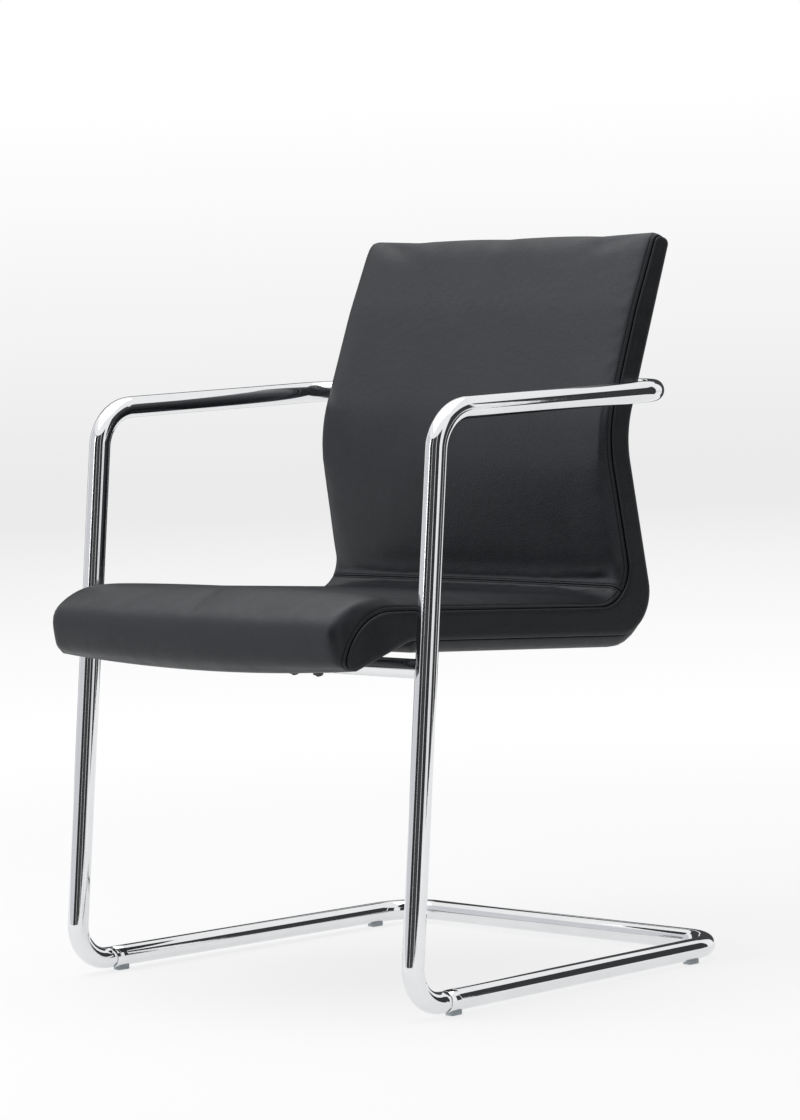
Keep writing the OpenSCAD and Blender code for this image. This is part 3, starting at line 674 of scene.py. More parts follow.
class Line:
    """Smooth path in the plane of the chair's side, with a crown at each point

    A crown is the height of the rounded sides, the swell between them and the sides' width.
    """

    # Spacing of the evened crowns, how many to each side are evened together, and the spacing of
    # the places among which distance() looks
    EVERY = 0.002
    EVENED = 7
    SEARCH = 0.0005
    # Shortest step between two stations, and the most that the line turns between them
    SHORTEST = 0.0016
    SHARPEST = 0.24

    def __init__(self, corners):
        self.points, self.crowns = [corners[0][0]], [corners[0][2]]
        for i in range(1, len(corners) - 1):
            b, radius, before, after = corners[i]
            arc = corner_arc(corners[i - 1][0], b, corners[i + 1][0], radius)
            for k, p in enumerate(arc):
                share = k / (len(arc) - 1)
                self.points.append(p)
                self.crowns.append(tuple(x + (y - x) * share for x, y in zip(before, after)))
        self.points.append(corners[-1][0])
        self.crowns.append(corners[-1][2])
        self.lengths = [0.0]
        for a, b in zip(self.points, self.points[1:]):
            self.lengths.append(self.lengths[-1] + (b - a).length)
        self.length = self.lengths[-1]
        count = int(self.length / self.EVERY) + 2
        raw = [self.between(k * self.EVERY)[1] for k in range(count)]
        self.soft = []
        for k in range(len(raw)):
            near = raw[max(0, k - self.EVENED):k + self.EVENED + 1]
            self.soft.append([sum(c[i] for c in near) / len(near) for i in range(3)])

    def at(self, s):
        """Point and evened crown at a distance along the line"""
        s = min(max(s, 0.0), self.length)
        k = min(int(s / self.EVERY), len(self.soft) - 2)
        share = s / self.EVERY - k
        crown = [x + (y - x) * share for x, y in zip(self.soft[k], self.soft[k + 1])]
        return self.between(s)[0], crown

    def between(self, s):
        """Point and crown between the line's own points"""
        s = min(max(s, 0.0), self.length)
        i = 0
        while i < len(self.lengths) - 2 and self.lengths[i + 1] < s:
            i += 1
        run = self.lengths[i + 1] - self.lengths[i]
        share = (s - self.lengths[i]) / run if run > 0 else 0.0
        point = self.points[i].lerp(self.points[i + 1], share)
        crown = [x + (y - x) * share for x, y in zip(self.crowns[i], self.crowns[i + 1])]
        return point, crown

    def normal(self, s, reach=0.0012):
        """Direction to the left of the line, evened over a reach to both sides"""
        a, b = self.between(s - reach)[0], self.between(s + reach)[0]
        return left_of((b - a).normalized())

    def distance(self, point):
        """Distance along the line of the place nearest to point"""
        places = [k * self.SEARCH for k in range(int(self.length / self.SEARCH))]
        return min(places, key=lambda s: (self.between(s)[0] - point).length)

    def stations(self, start, end, step, close):
        """Distances from start to end, closer at tight bends and near both ends"""
        found = [start + d for d in close] + [end - d for d in close]
        s, stop = start + max(close), end - max(close)
        while s < stop - step * 0.4:
            found.append(s)
            reach = step
            while reach > self.SHORTEST:
                ahead = self.normal(min(s + reach, self.length))
                if self.normal(s).angle(ahead) <= self.SHARPEST:
                    break
                reach *= 0.7
            s += reach
        return sorted(set(round(x, 6) for x in found if start <= x <= end))


class Shell:
    """Outline of the upholstered shell, in the chair's own front corner coordinates"""

    # Gap between the padded side's leather and the rear leather, where their ends meet
    GAP = 0.0003

    def __init__(self):
        """Works out where the straights of the side meet, and the padded side's line"""
        s = props().shell
        self.s = s
        self.shift = front_corner_y()
        down = s.nose_drop
        self.nose_dir = Vector((math.cos(down), math.sin(down)))
        self.seat_dir = Vector((math.cos(s.seat_tilt), -math.sin(s.seat_tilt)))
        self.lower_dir = Vector((-math.sin(s.lumbar_lean), math.cos(s.lumbar_lean)))
        self.upper_dir = Vector((math.sin(s.back_lean), math.cos(s.back_lean)))
        self.bend = Vector((s.bend_setback, s.bend_height))
        self.nose = self.bend - self.nose_dir * s.nose_length
        self.corner = self.bend + self.seat_dir * s.seat_length
        waist_height = props().tube.arm_height - s.waist_drop
        self.waist = self.corner + self.lower_dir * ((waist_height - self.corner.y) / self.lower_dir.y)
        self.top = self.waist + self.upper_dir * s.upper_back
        seat_top = self.bend + left_of(self.seat_dir) * s.seat_pad
        lower_front = self.corner + left_of(self.lower_dir) * s.back_pad
        upper_front = self.waist + left_of(self.upper_dir) * s.back_pad
        lean = Vector((math.sin(s.nose_lean), math.cos(s.nose_lean)))
        self.front = meet(seat_top, self.seat_dir, self.nose, lean)
        self.heel = meet(seat_top, self.seat_dir, lower_front, self.lower_dir)
        self.inner_waist = meet(lower_front, self.lower_dir, upper_front, self.upper_dir)
        self.head = self.top - self.upper_dir * s.head_length + left_of(self.upper_dir) * s.back_pad
        self.top_front = self.top + left_of(self.upper_dir) * s.top_pad
        self.half = s.width / 2 - s.band
        self.slope = (s.width - s.top_width) / 2 / (self.top.y - s.bend_height)
        self.pad = self.pad_line()
        self.tip_at = self.pad.distance(self.nose)
        heel = corner_arc(self.front, self.heel, self.inner_waist, s.heel_radius)
        self.seam_at = self.pad.distance(heel[len(heel) // 2])

    def pad_line(self):
        """Padded side from the underside of the nose over seat and back to the rear top edge"""
        s = self.s

        def crown(roll, swell, wide=s.edge_roll / MM):
            return tuple(v * MM for v in (roll, swell, wide))

        tip, nose, seat_front = crown(1, 10, 13), crown(37, 6, 13), crown(12, 3, 14)
        seat_rear, heel, lower = crown(7, 2), crown(16, 2), crown(13, 2)
        upper, top, none = crown(9, 2), crown(3, 0), crown(0, 0)
        return Line([
            (self.bend - self.nose_dir * s.cover_front, 0, crown(0, 4)),
            (self.nose, s.tip_radius, crown(0, 10), tip),
            (self.front, s.front_radius, nose, seat_front),
            (self.heel, s.heel_radius, seat_rear, heel),
            (self.inner_waist, s.waist_radius + s.back_pad, lower, upper),
            (self.head, s.head_radius, upper, upper),
            (self.top_front, s.top_front_radius, upper, top),
            (self.top, s.top_rear_radius, none, none),
            (self.top - self.upper_dir * s.cover_rear, 0, none),
        ])

    def rear_line(self):
        """Rear and underside from the nose to below the top edge"""
        s, none = self.s, (0.0, 0.0, 0.0)
        return Line([
            (self.bend - self.nose_dir * (s.cover_front - self.GAP), 0, none),
            (self.bend, s.bend_radius, none, none),
            (self.corner, s.corner_radius, none, none),
            (self.waist, s.waist_radius, none, none),
            (self.top - self.upper_dir * (s.cover_rear + self.GAP), 0, none),
        ])

    def side_outline(self):
        """Closed outline of the whole side"""
        s = self.s
        corners = [
            (self.front, self.nose, self.bend, s.tip_radius),
            (self.nose, self.bend, self.corner, s.bend_radius),
            (self.bend, self.corner, self.waist, s.corner_radius),
            (self.corner, self.waist, self.top, s.waist_radius),
            (self.waist, self.top, self.top_front, s.top_rear_radius),
            (self.top, self.top_front, self.head, s.top_front_radius),
            (self.top_front, self.head, self.inner_waist, s.head_radius),
            (self.head, self.inner_waist, self.heel, s.waist_radius + s.back_pad),
            (self.inner_waist, self.heel, self.front, s.heel_radius),
            (self.heel, self.front, self.nose, s.front_radius),
        ]
        return [p for a, b, c, r in corners for p in corner_arc(a, b, c, r, 20)]

    def widen(self, x, z):
        """x at height z, where the sides lean inwards towards the top"""
        return x * (1 - self.slope * (z - self.s.bend_height) / self.half)

    def place(self, x, point):
        """Point of the row from a place across the chair and a point of its side"""
        return Vector((self.widen(x, point.y), point.x + self.shift, point.y))


# Half widths of a seam and of the groove that a row of stitches draws in
SEAM_WIDTH = 0.0016
GROOVE_WIDTH = 0.0008


def dip(distance, row, sewing, sewn=True):
    """How far leather lies below the pad's form at a distance from a seam"""
    seam = sewing.seam_depth * (1 - smooth(0.0, SEAM_WIDTH, distance))
    if not sewn:
        return seam
    return seam + sewing.groove * math.exp(-(((distance - row) / GROOVE_WIDTH) ** 2))


# Where the painted shade in a seam begins to fade and ends, and how strong and wide the painted shade
# in a row's groove is
SEAM_SHADE = (0.0003, 0.0015)
ROW_SHADE = 0.3
ROW_SHADE_WIDTH = 0.0007


def painted_seam_shade(distance, row):
    """Painted shade that a seam's groove and its row of stitches give the leather at a distance"""
    seam = 1 - smooth(*SEAM_SHADE, distance)
    if not row:
        return seam
    return max(seam, ROW_SHADE * math.exp(-(((distance - row) / ROW_SHADE_WIDTH) ** 2)))


def rolled_length(wide, high, angle, steps=12):
    """Length of a rounded side, a quarter of an ellipse, from its seam up to an angle"""
    part = angle / steps
    middles = [(k + 0.5) * part for k in range(steps)]
    return part * sum(math.hypot(wide * math.sin(m), high * math.cos(m)) for m in middles)


@functools.lru_cache(maxsize=None)
def row_angle(wide, high, row):
    """Angle on a rounded side at which the row of stitches runs"""
    angle = 0.05
    while angle < 0.85 and rolled_length(wide, high, angle) < row:
        angle += 0.01
    return angle


# Places of the pad's columns: 0 at the side seam, 1 at its row of stitches, 2 where the side ends
ROLL_PLACES = (
    0, 0.08, 0.18, 0.3, 0.45, 0.62, 0.78, 0.9, 1, 1.03, 1.08, 1.15, 1.26, 1.4, 1.56, 1.76, 2
)
# Distances from a seam at which a pad's rows begin, so that seam and stitching are well shaped
CLOSE_ROWS = [x * MM for x in (0, 0.5, 1.1, 1.8, 2.6, 3.1, 3.4, 3.8, 4.6, 6.5, 9, 12.5)]


class Pad:
    """Crowned pad between two seams of the padded side"""

    # Thickness at the seams and at the thin edges, how much more there is elsewhere, and the
    # distance from a seam over which that begins
    THIN = 0.0045
    MORE = 0.0075
    THICKENS = 0.012
    # Distance over which leather gets free to swell beyond a row at the side and at a cross seam
    FREE_SIDE = 0.014
    FREE_CROSS = 0.012
    # Distances from the nose's tip over which the leather gets free and the pad thickens, and
    # distances from the pad's end at the top over which it thins
    FREE_TIP = (0.008, 0.045)
    TIP_THIN = 0.03
    TOP_THIN = (0.055, 0.085)

    def __init__(self, shell, start, end, sewn_start, sewn_end):
        self.shell, self.start, self.end = shell, start, end
        self.sewn = (sewn_start, sewn_end)
        self.sewing = props().sewing
        self.at = shell.pad.stations(start, end, self.sewing.grid, CLOSE_ROWS)
        flat = max(4, round(shell.half / (self.sewing.grid * 1.3)))
        self.columns = [("flat", k / flat) for k in range(flat)]
        self.columns += [("roll", place) for place in reversed(ROLL_PLACES)]

    def depth(self, s):
        """Thickness of the pad, thin where it turns over the nose and the top"""
        near, thin = min(s - self.start, self.end - s), 0.0
        if self.start < self.shell.tip_at:
            thin = 1 - smooth(0.0, self.TIP_THIN, abs(s - self.shell.tip_at))
        if self.end >= self.shell.pad.length:
            thin = max(thin, 1 - smooth(*self.TOP_THIN, self.end - s))
        return self.THIN + self.MORE * (1 - thin) * smooth(0.0, self.THICKENS, near)

    def surface(self, s, kind, value):
        """Place and normal of a point of the leather, how free it is, and how much painted shade its
        seams give it
        """
        shell = self.shell
        point, (roll, swell, wide) = shell.pad.at(s)
        high = max(roll, 0.002)
        turn = row_angle(round(wide, 4), round(high, 4), self.sewing.side_row)
        row = rolled_length(wide, high, turn)
        up = shell.pad.normal(s)
        if kind == "across":
            kind = "flat" if value < shell.half - wide else "angle"
            if kind == "flat":
                value /= shell.half - wide
            else:
                value = math.acos(max(-1.0, 1 - (shell.half - value) / wide))
        if kind == "flat":
            x, height, across, lift = value * (shell.half - wide), roll, 0.0, 1.0
            side = shell.half - wide - x + rolled_length(wide, high, math.pi / 2)
        else:
            if kind == "roll":
                value = value * turn if value < 1 else turn + (value - 1) * (math.pi / 2 - turn)
            x = shell.half - wide * (1 - math.cos(value))
            height = roll * math.sin(value)
            nx, nh = math.cos(value) / wide, math.sin(value) / high
            across, lift = nx / math.hypot(nx, nh), nh / math.hypot(nx, nh)
            side = rolled_length(wide, high, value)
        height += swell * (1 - (x / shell.half) ** 2)
        low = max(
            dip(side, row, self.sewing),
            dip(s - self.start, self.sewing.margin, self.sewing, self.sewn[0]),
            dip(self.end - s, self.sewing.margin, self.sewing, self.sewn[1]),
        )
        height -= low * lift
        x -= low * across
        flat = point + up * height
        place = shell.place(x, flat)
        normal = Vector((across, up.x * lift, up.y * lift)).normalized()
        # Painted shade in the side seam's groove and along its stitch row, then in the cross seams'
        # grooves and rows
        free, seam_shade = smooth(row, row + self.FREE_SIDE, side), painted_seam_shade(side, row)
        margin = self.sewing.margin
        for distance, sewn in ((s - self.start, self.sewn[0]), (self.end - s, self.sewn[1])):
            free *= smooth(margin, margin + self.FREE_CROSS, distance)
            seam_shade = max(seam_shade, painted_seam_shade(distance, margin if sewn else 0))
        if self.start < shell.tip_at:
            near, far = self.FREE_TIP
            free *= smooth(shell.tip_at + near, shell.tip_at + far, s)
        return place, normal, free, seam_shade

    def build(self):
        """Closed mesh: the leather, short sides under the bands and a back"""
        bm = bmesh.new()
        # Layers: how free the leather is to swell, painted shade from seams and stitch rows, and the
        # distance along the side
        layers = [bm.verts.layers.float.new(name) for name in ("free", "seam", "along")]
        columns = self.columns + [("under", 1.0), ("under", 0.0)]
        lay_columns(bm, len(self.at), columns, lambda *row: self.set_column(*row, layers))
        mirror_half(bm, 1e-6)
        close_rim(bm)
        return bm

    def set_column(self, chain, column, layers):
        """Puts a row of vertices in its place and notes what swell() and the leather need"""
        kind, value = column
        shell = self.shell
        free, seam, along = layers
        for v, s in zip(chain, self.at):
            v[along] = s
            if kind == "under":
                point, _ = shell.pad.at(s)
                under = point - shell.pad.normal(s, 0.004) * self.depth(s)
                v.co = shell.place(shell.half * value, under)
                # The pad's hidden inner side is not free and gets the full painted seam shade
                v[free], v[seam] = 0.0, 1.0
            else:
                v.co, _, v[free], v[seam] = self.surface(s, kind, value)
                if value == 0 and kind == "flat":
                    v.co.x = 0.0


# Puckers above the heel seam, in millimetres: place from the side, width, place above the seam
# and height
PUCKERS = ((26, 15, 13, -1.3), (30, 17, 21, 1.1), (60, 22, 11, -0.7), (66, 24, 19, 0.5))
PUCKER_REACH = 0.0038


def crease(shell, x, s):
    """Rise of the leather where it creases over the nose and puckers above the heel seam"""
    sewing = props().sewing
    beyond = s - (shell.tip_at + sewing.crease_rise)
    inward = shell.half - abs(x)
    # A narrow crease that fades towards the sides, and a fold half as high beyond it
    rise = -sewing.crease * math.exp(-((beyond / 0.0045) ** 2)) * smooth(0.004, 0.03, inward)
    rise += 0.5 * sewing.crease * math.exp(-(((beyond - 0.013) / 0.008) ** 2))
    above = s - shell.seam_at
    for place, wide, up, high in PUCKERS:
        near = ((inward - place * MM) / (wide * MM)) ** 2 + ((above - up * MM) / PUCKER_REACH) ** 2
        rise += high * MM * math.exp(-near)
    return rise


# Leather filled from inside and held at its seams, stiff enough to stay smooth
CLOTH = {
    "vertex_group_mass": "held",
    "use_pressure": True,
    "uniform_pressure_force": 4.0,
    "quality": 6,
    "tension_stiffness": 18,
    "compression_stiffness": 18,
    "shear_stiffness": 6,
    "bending_stiffness": 0.8,
    "shrink_min": -0.006,
}
CLOTH_FRAMES = 20


def puff(piece, free, cap):
    """Fills the free leather like a pad, with a cloth simulation, by no more than cap"""
    mesh = piece.data
    rest = [v.co.copy() for v in mesh.vertices]
    group = piece.vertex_groups.new(name="held")
    for i, f in enumerate(free):
        group.add([i], 1.0 - f, "REPLACE")
    cloth = piece.modifiers.new("swell", "CLOTH")
    for key, value in CLOTH.items():
        setattr(cloth.settings, key, value)
    cloth.settings.effector_weights.gravity = 0.0
    cloth.point_cache.frame_start = 1
    cloth.point_cache.frame_end = CLOTH_FRAMES
    for f in range(1, CLOTH_FRAMES + 1):
        bpy.context.scene.frame_set(f)
    evaluated = piece.evaluated_get(bpy.context.evaluated_depsgraph_get())
    moved = [v.co.copy() for v in evaluated.to_mesh().vertices]
    evaluated.to_mesh_clear()
    piece.modifiers.remove(cloth)
    piece.vertex_groups.remove(group)
    bpy.context.scene.frame_set(1)
    for v, before, after in zip(mesh.vertices, rest, moved):
        step = after - before
        if step.length > 1e-9:
            v.co = before + step.normalized() * cap * math.tanh(step.length / cap)


def read_layer(mesh, name):
    """One value for each vertex, from a layer that Pad.build made"""
    values = [0.0] * len(mesh.vertices)
    mesh.attributes[name].data.foreach_get("value", values)
    return values


def swell(piece, shell, cap):
    """Swells the free leather, creases it and removes the layers that say where"""
    mesh = piece.data
    free, along = read_layer(mesh, "free"), read_layer(mesh, "along")
    puff(piece, free, cap)
    mesh.update()
    for v, f, s in zip(mesh.vertices, free, along):
        if f > 0:
            v.co += v.normal * crease(shell, v.co.x, s) * f
    mesh.attributes.remove(mesh.attributes["free"])
    mesh.attributes.remove(mesh.attributes["along"])
    mesh.update()


def seat_pad(shell):
    """The seat's pad, from under the nose to the cross seam"""
    return Pad(shell, 0.0, shell.seam_at, False, True)


def back_pad(shell):
    """The back's pad, from the cross seam over the top edge"""
    return Pad(shell, shell.seam_at, shell.pad.length, True, False)


def cushion(name, pad, replaced):
    """Makes one of the two cushions of its pad"""
    piece = new_piece(name, pad.build(), Finish.get("leather"), None, replaced)
    swell(piece, pad.shell, props().sewing.swelling)
    finer = piece.modifiers.new("finer", "SUBSURF")
    finer.levels = finer.render_levels = 1
    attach(piece, "swing_frame")


class SeatPad(bpy.types.Operator):
    """Make the padded leather of the seat, from under the nose to the seam"""

    bl_idname = "armchair.seat_pad"
    bl_label = "Seat pad"

    def execute(self, context):
        cushion("seat_cushion", seat_pad(Shell()), ("seat_cover", "seat_foam"))
        return {"FINISHED"}


class BackPad(bpy.types.Operator):
    """Make the padded leather of the back, from the seam over the top edge"""

    bl_idname = "armchair.back_pad"
    bl_label = "Back pad"

    def execute(self, context):
        cushion("back_cushion", back_pad(Shell()), ("back_cover", "back_foam"))
        return {"FINISHED"}


# Steps that shape a side band from its edge to its middle: millimetres inwards and outwards
BAND_CROWN = ((0.4, 0.55), (0.6, 0.4), (1.0, 0.35), (1.6, 0.3), (1.8, 0.15), (1.4, 0.0))
# How far a band's inner face lies inside the shell's width, and the height of its upright edge
BAND_INNER = 0.0016
BAND_EDGE = 0.0006


class SideBands(bpy.types.Operator):
    """Make the leather bands along both sides of the shell"""

    bl_idname = "armchair.side_bands"
    bl_label = "Side bands"

    def execute(self, context):
        shell = Shell()
        s = shell.s
        for side, name in ((-1, "left"), (1, "right")):
            bm = bmesh.new()
            verts = [bm.verts.new((-BAND_INNER, p.x, p.y)) for p in shell.side_outline()]
            bmesh.ops.remove_doubles(bm, verts=verts, dist=1e-5)
            face = bm.faces.new(bm.verts[:])
            bmesh.ops.recalc_face_normals(bm, faces=[face])
            made = bmesh.ops.extrude_face_region(bm, geom=[face])["geom"]
            lifted = [g for g in made if isinstance(g, bmesh.types.BMVert)]
            bmesh.ops.translate(bm, verts=lifted, vec=(BAND_EDGE, 0, 0))
            face = next(g for g in made if isinstance(g, bmesh.types.BMFace))
            for inset, rise in BAND_CROWN:
                bmesh.ops.inset_region(
                    bm, faces=[face], thickness=inset * MM, depth=0.0, use_even_offset=True
                )
                bmesh.ops.translate(bm, verts=face.verts, vec=(rise * MM, 0, 0))
            if side < 0:
                bmesh.ops.scale(bm, verts=bm.verts, vec=(-1, 1, 1))
            bmesh.ops.recalc_face_normals(bm, faces=bm.faces)
            flat = [f for f in bm.faces if len(f.verts) > 4]
            bmesh.ops.triangulate(bm, faces=flat, ngon_method="EAR_CLIP")
            lean = Matrix.Rotation(-side * math.atan(shell.slope), 4, "Y")
            bend = Vector((0, 0, s.bend_height))
            place = Matrix.Translation((side * s.width / 2, shell.shift, s.bend_height))
            matrix = place @ lean @ Matrix.Translation(-bend)
            bmesh.ops.transform(bm, verts=bm.verts, matrix=matrix)
            node = "side_band_" + name
            new_piece("band_" + name, bm, Finish.get("leather"), "swing_frame", (node,))
        return {"FINISHED"}


class OuterCover(bpy.types.Operator):
    """Make the leather of the underside and the rear"""

    bl_idname = "armchair.outer_cover"
    bl_label = "Outer cover"

    # Faces along the middle of the leather, and rows and columns close to its seams
    STEP = 0.014
    COLUMNS = 14
    CLOSE = [x * MM for x in (0, 0.5, 1.1, 1.8, 3.0, 4.6, 8)]
    ACROSS = [x * MM for x in (0, 0.4, 0.9, 1.6, 2.6, 4.2, 7, 12, 20, 32)]
    # Share of a pad's seam depth, how far the leather bulges, and its thickness
    SEAM = 0.8
    BULGE = 0.0008
    THICKNESS = 0.0011

    def execute(self, context):
        shell = Shell()
        line = shell.rear_line()
        sewing = props().sewing
        at = line.stations(0.0, line.length, self.STEP, self.CLOSE)
        across = [shell.half - d for d in self.ACROSS]
        inner = across[-1]
        columns = [inner * k / self.COLUMNS for k in range(self.COLUMNS)] + across[::-1]

        def lay(chain, x):
            for v, s in zip(chain, at):
                point, _ = line.at(s)
                near = min(shell.half - x, s, line.length - s)
                low = dip(near, 0.0, sewing, False) * self.SEAM
                bulge = self.BULGE * smooth(0.0, 0.03, near)
                v.co = shell.place(x, point - line.normal(s) * (bulge - low))

        bm = bmesh.new()
        lay_columns(bm, len(at), columns, lay)
        mirror_half(bm, 1e-6)
        bmesh.ops.recalc_face_normals(bm, faces=bm.faces)
        under = [f for f in bm.faces if f.calc_center_median().z < shell.s.bend_height]
        if sum((f.normal * f.calc_area() for f in under), Vector()).z > 0:
            bmesh.ops.reverse_faces(bm, faces=bm.faces)
        bmesh.ops.solidify(bm, geom=bm.faces[:], thickness=self.THICKNESS)
        material = Finish.get("leather")
        new_piece("outer_leather", bm, material, "swing_frame", ("outer_cover",))
        return {"FINISHED"}


class UndersidePad(bpy.types.Operator):
    """Make the padded board under the seat"""

    bl_idname = "armchair.underside_pad"
    bl_label = "Underside pad"

    # Distance of the board from the bands, and of its upper side from the leather above it
    INSET = 0.001
    CLEAR = 0.0001
    # Width of its rounded edge, its bulge, and the place and depth of the sewn row
    ROLL = 0.014
    BULGE = 0.0008
    ROW = 0.009
    GROOVE = 0.0006

    def execute(self, context):
        shell = Shell()
        s = shell.s
        line = shell.rear_line()
        start = line.distance(shell.bend + shell.seat_dir * s.pad_front)
        turn = shell.seat_dir.angle(shell.lower_dir)
        flat = s.seat_length - s.corner_radius * math.tan(turn / 2) - s.pad_front
        total = flat + s.corner_radius * turn * s.pad_round
        bm = bmesh.new()
        made = bmesh.ops.create_grid(bm, x_segments=44, y_segments=40, size=1.0)["verts"]
        half = shell.half - self.INSET
        top = {}
        for v in made:
            x = math.copysign(1 - (1 - abs(v.co.x)) ** 1.6, v.co.x)
            t = (v.co.y + 1) / 2
            t = 0.5 + math.copysign((1 - (1 - abs(2 * t - 1)) ** 1.5), t - 0.5) / 2
            along = t * total
            edge = min(half * (1 - abs(x)), along * 1.6)
            roll = math.sin(math.pi / 2 * min(edge / self.ROLL, 1.0)) ** 0.8
            deep = s.pad_height * (0.12 + 0.80 * roll) + self.BULGE * (1 - x * x)
            deep -= self.GROOVE * math.exp(-(((edge - self.ROW) / 0.0012) ** 2))
            deep *= max(0.03, math.cos(math.pi / 2 * max(0.0, along - flat) / (total - flat)))
            point, out = line.at(start + along)[0], -line.normal(start + along)
            v.co = shell.place(x * half, point + out * deep)
            top[v] = shell.place(x * half, point)
        bmesh.ops.recalc_face_normals(bm, faces=bm.faces)
        if sum(f.normal.z for f in bm.faces) > 0:
            bmesh.ops.reverse_faces(bm, faces=bm.faces)
        verts, _ = extrude_row(bm, [e for e in bm.edges if e.is_boundary])
        for v in verts:
            source = next(o for e in v.link_edges for o in [e.other_vert(v)] if o in top)
            v.co = top[source] + (source.co - top[source]).normalized() * self.CLEAR
        close_rim(bm)
        material = Finish.get("leather")
        piece = new_piece(
            "underside_board", bm, material, "swing_frame", ("underside_pad",)
        )
        return {"FINISHED"}


def sew(name, rows):
    """Lays stitches along rows of (place, normal) points, partly sunk into the leather"""
    sewing = props().sewing
    pattern = bmesh.new()
    bmesh.ops.create_icosphere(pattern, subdivisions=1, radius=0.5)
    size = (sewing.thread, sewing.stitch, sewing.thread)
    bmesh.ops.scale(pattern, verts=pattern.verts, vec=size)
    template = bpy.data.meshes.new("stitch")
    pattern.to_mesh(template)
    pattern.free()
    bm = bmesh.new()
    for row in rows:
        lengths = [0.0]
        for (a, _), (b, _) in zip(row, row[1:]):
            lengths.append(lengths[-1] + (b - a).length)
        count = int(lengths[-1] / sewing.pitch)
        at = 0
        for k in range(count):
            s = (k + 0.5) * lengths[-1] / count
            while lengths[at + 1] < s:
                at += 1
            share = (s - lengths[at]) / (lengths[at + 1] - lengths[at])
            place = row[at][0].lerp(row[at + 1][0], share)
            up = row[at][1].lerp(row[at + 1][1], share).normalized()
            along = (row[at + 1][0] - row[at][0]).normalized()
            along = (along - up * along.dot(up)).normalized()
            matrix = directed(along.cross(up), along, up, place)
            before = len(bm.verts)
            bm.from_mesh(template)
            bm.verts.ensure_lookup_table()
            bmesh.ops.transform(bm, verts=bm.verts[before:], matrix=matrix)
    bpy.data.meshes.remove(template)
    return new_piece(name, bm, Finish.get("thread"), "swing_frame")


class Stitching(bpy.types.Operator):
    """Sew the rows of stitches along the seams"""

    bl_idname = "armchair.stitching"
    bl_label = "Stitching"

    # Where a side row ends, short of the cross seam and of the leather's free end
    AT_SEAM = 0.004
    AT_END = 0.012
    # Spacing of the points that a side row follows, and their number on the rear and cross rows
    STEP = 0.006
    REAR_STEPS = 160
    CROSS_STEPS = 60
    # Distance of the cross rows' ends from the sides
    CROSS_INSET = 0.006
    # Distance of the rear row from the band and from the leather's ends, and its lift
    REAR_INSET = 0.0035
    REAR_END = 0.01
    REAR_LIFT = 0.0006

    def execute(self, context):
        shell = Shell()
        pads = seat_pad(shell), back_pad(shell)
        for side, name in ((-1, "left"), (1, "right")):
            rows = [self.side_row(pad, side) for pad in pads]
            sew("stitches_" + name, rows + [self.rear_row(shell, side)])
        margin = props().sewing.margin
        places = (pads[0], shell.seam_at - margin), (pads[1], shell.seam_at + margin)
        sew("stitches_cross", [self.cross_row(pad, s) for pad, s in places])
        return {"FINISHED"}

    @staticmethod
    def point(pad, s, kind, value, side):
        """Place and normal of a stitch on a pad, a quarter of the thread above the leather"""
        place, up = pad.surface(s, kind, value)[:2]
        place, up = Vector((side * place.x, place.y, place.z)), Vector((side * up.x, up.y, up.z))
        return place + up * props().sewing.thread * 0.25, up

    def side_row(self, pad, side):
        """Row along one side of a pad"""
        first = pad.start + (self.AT_SEAM if pad.start > 0 else self.AT_END)
        last = pad.end - (self.AT_SEAM if pad.start == 0 else self.AT_END)
        steps = int((last - first) / self.STEP)
        places = [first + (last - first) * k / steps for k in range(steps + 1)]
        return [self.point(pad, s, "roll", 1, side) for s in places]

    def rear_row(self, shell, side):
        """Row along one side of the underside and the rear"""
        line, row = shell.rear_line(), []
        for k in range(self.REAR_STEPS + 1):
            s = self.REAR_END + (line.length - 2 * self.REAR_END) * k / self.REAR_STEPS
            point, up = line.at(s)[0], -line.normal(s)
            x = side * (shell.half - self.REAR_INSET)
            row.append((shell.place(x, point + up * self.REAR_LIFT), Vector((0, up.x, up.y))))
        return row

    def cross_row(self, pad, s):
        """Row across a pad, along the cross seam"""
        inner = pad.shell.half - self.CROSS_INSET
        places = [inner * (2 * k / self.CROSS_STEPS - 1) for k in range(self.CROSS_STEPS + 1)]
        return [self.point(pad, s, "across", abs(x), 1 if x > 0 else -1) for x in places]


class Fittings(bpy.types.Operator):
    """Give the fittings and the inner parts their finishes"""

    bl_idname = "armchair.fittings"
    bl_label = "Fittings"

    def execute(self, context):
        finishes = {
            "seat_tube": "chrome",
            "floor_sleeves": "steel",
            "bar_sleeves": "steel",
            "joint_plugs": "steel",
            "seat_saddles": "nylon",
            "back_saddles": "nylon",
            "seat_washers": "zinc",
            "back_washers": "zinc",
            "seat_screws": "zinc",
            "back_screws": "zinc",
            "seat_tee_nuts": "zinc",
            "back_tee_nuts": "zinc",
            "ply_shell": "plywood",
        }
        for node, finish in finishes.items():
            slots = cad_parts[node].material_slots
            if not slots:
                raise RuntimeError(f"{node} has no material slot")
            for place in slots:
                place.material = Finish.get(finish)
        return {"FINISHED"}


def glowing(name, value):
    """Material that only glows, for the studio's cards"""
    material, tree, shader, _ = new_material(name)
    tree.nodes.remove(shader)
    glow = add_node(tree, "ShaderNodeEmission", Color=(*value, 1))
    tree.links.new(glow.outputs[0], tree.nodes["Material Output"].inputs["Surface"])
    return material


def seen_directly(tree):
    """1 for rays from the camera and for mirrored and refracted ones, 0 for soft light"""
    rays = add_node(tree, "ShaderNodeLightPath").outputs
    mirrored = combine(tree, "MAXIMUM", rays["Is Camera Ray"], rays["Is Glossy Ray"])
    return combine(tree, "MAXIMUM", mirrored, rays["Is Transmission Ray"])


# The grey that the surroundings have far away, and the distances over which the floor turns
# white round the chair and then to that grey
FAR_GREY = (0.83, 0.83, 0.83)
WHITE_FROM, WHITE_TO = 0.45, 2.6
GREY_FROM, GREY_TO = 3.0, 9.0


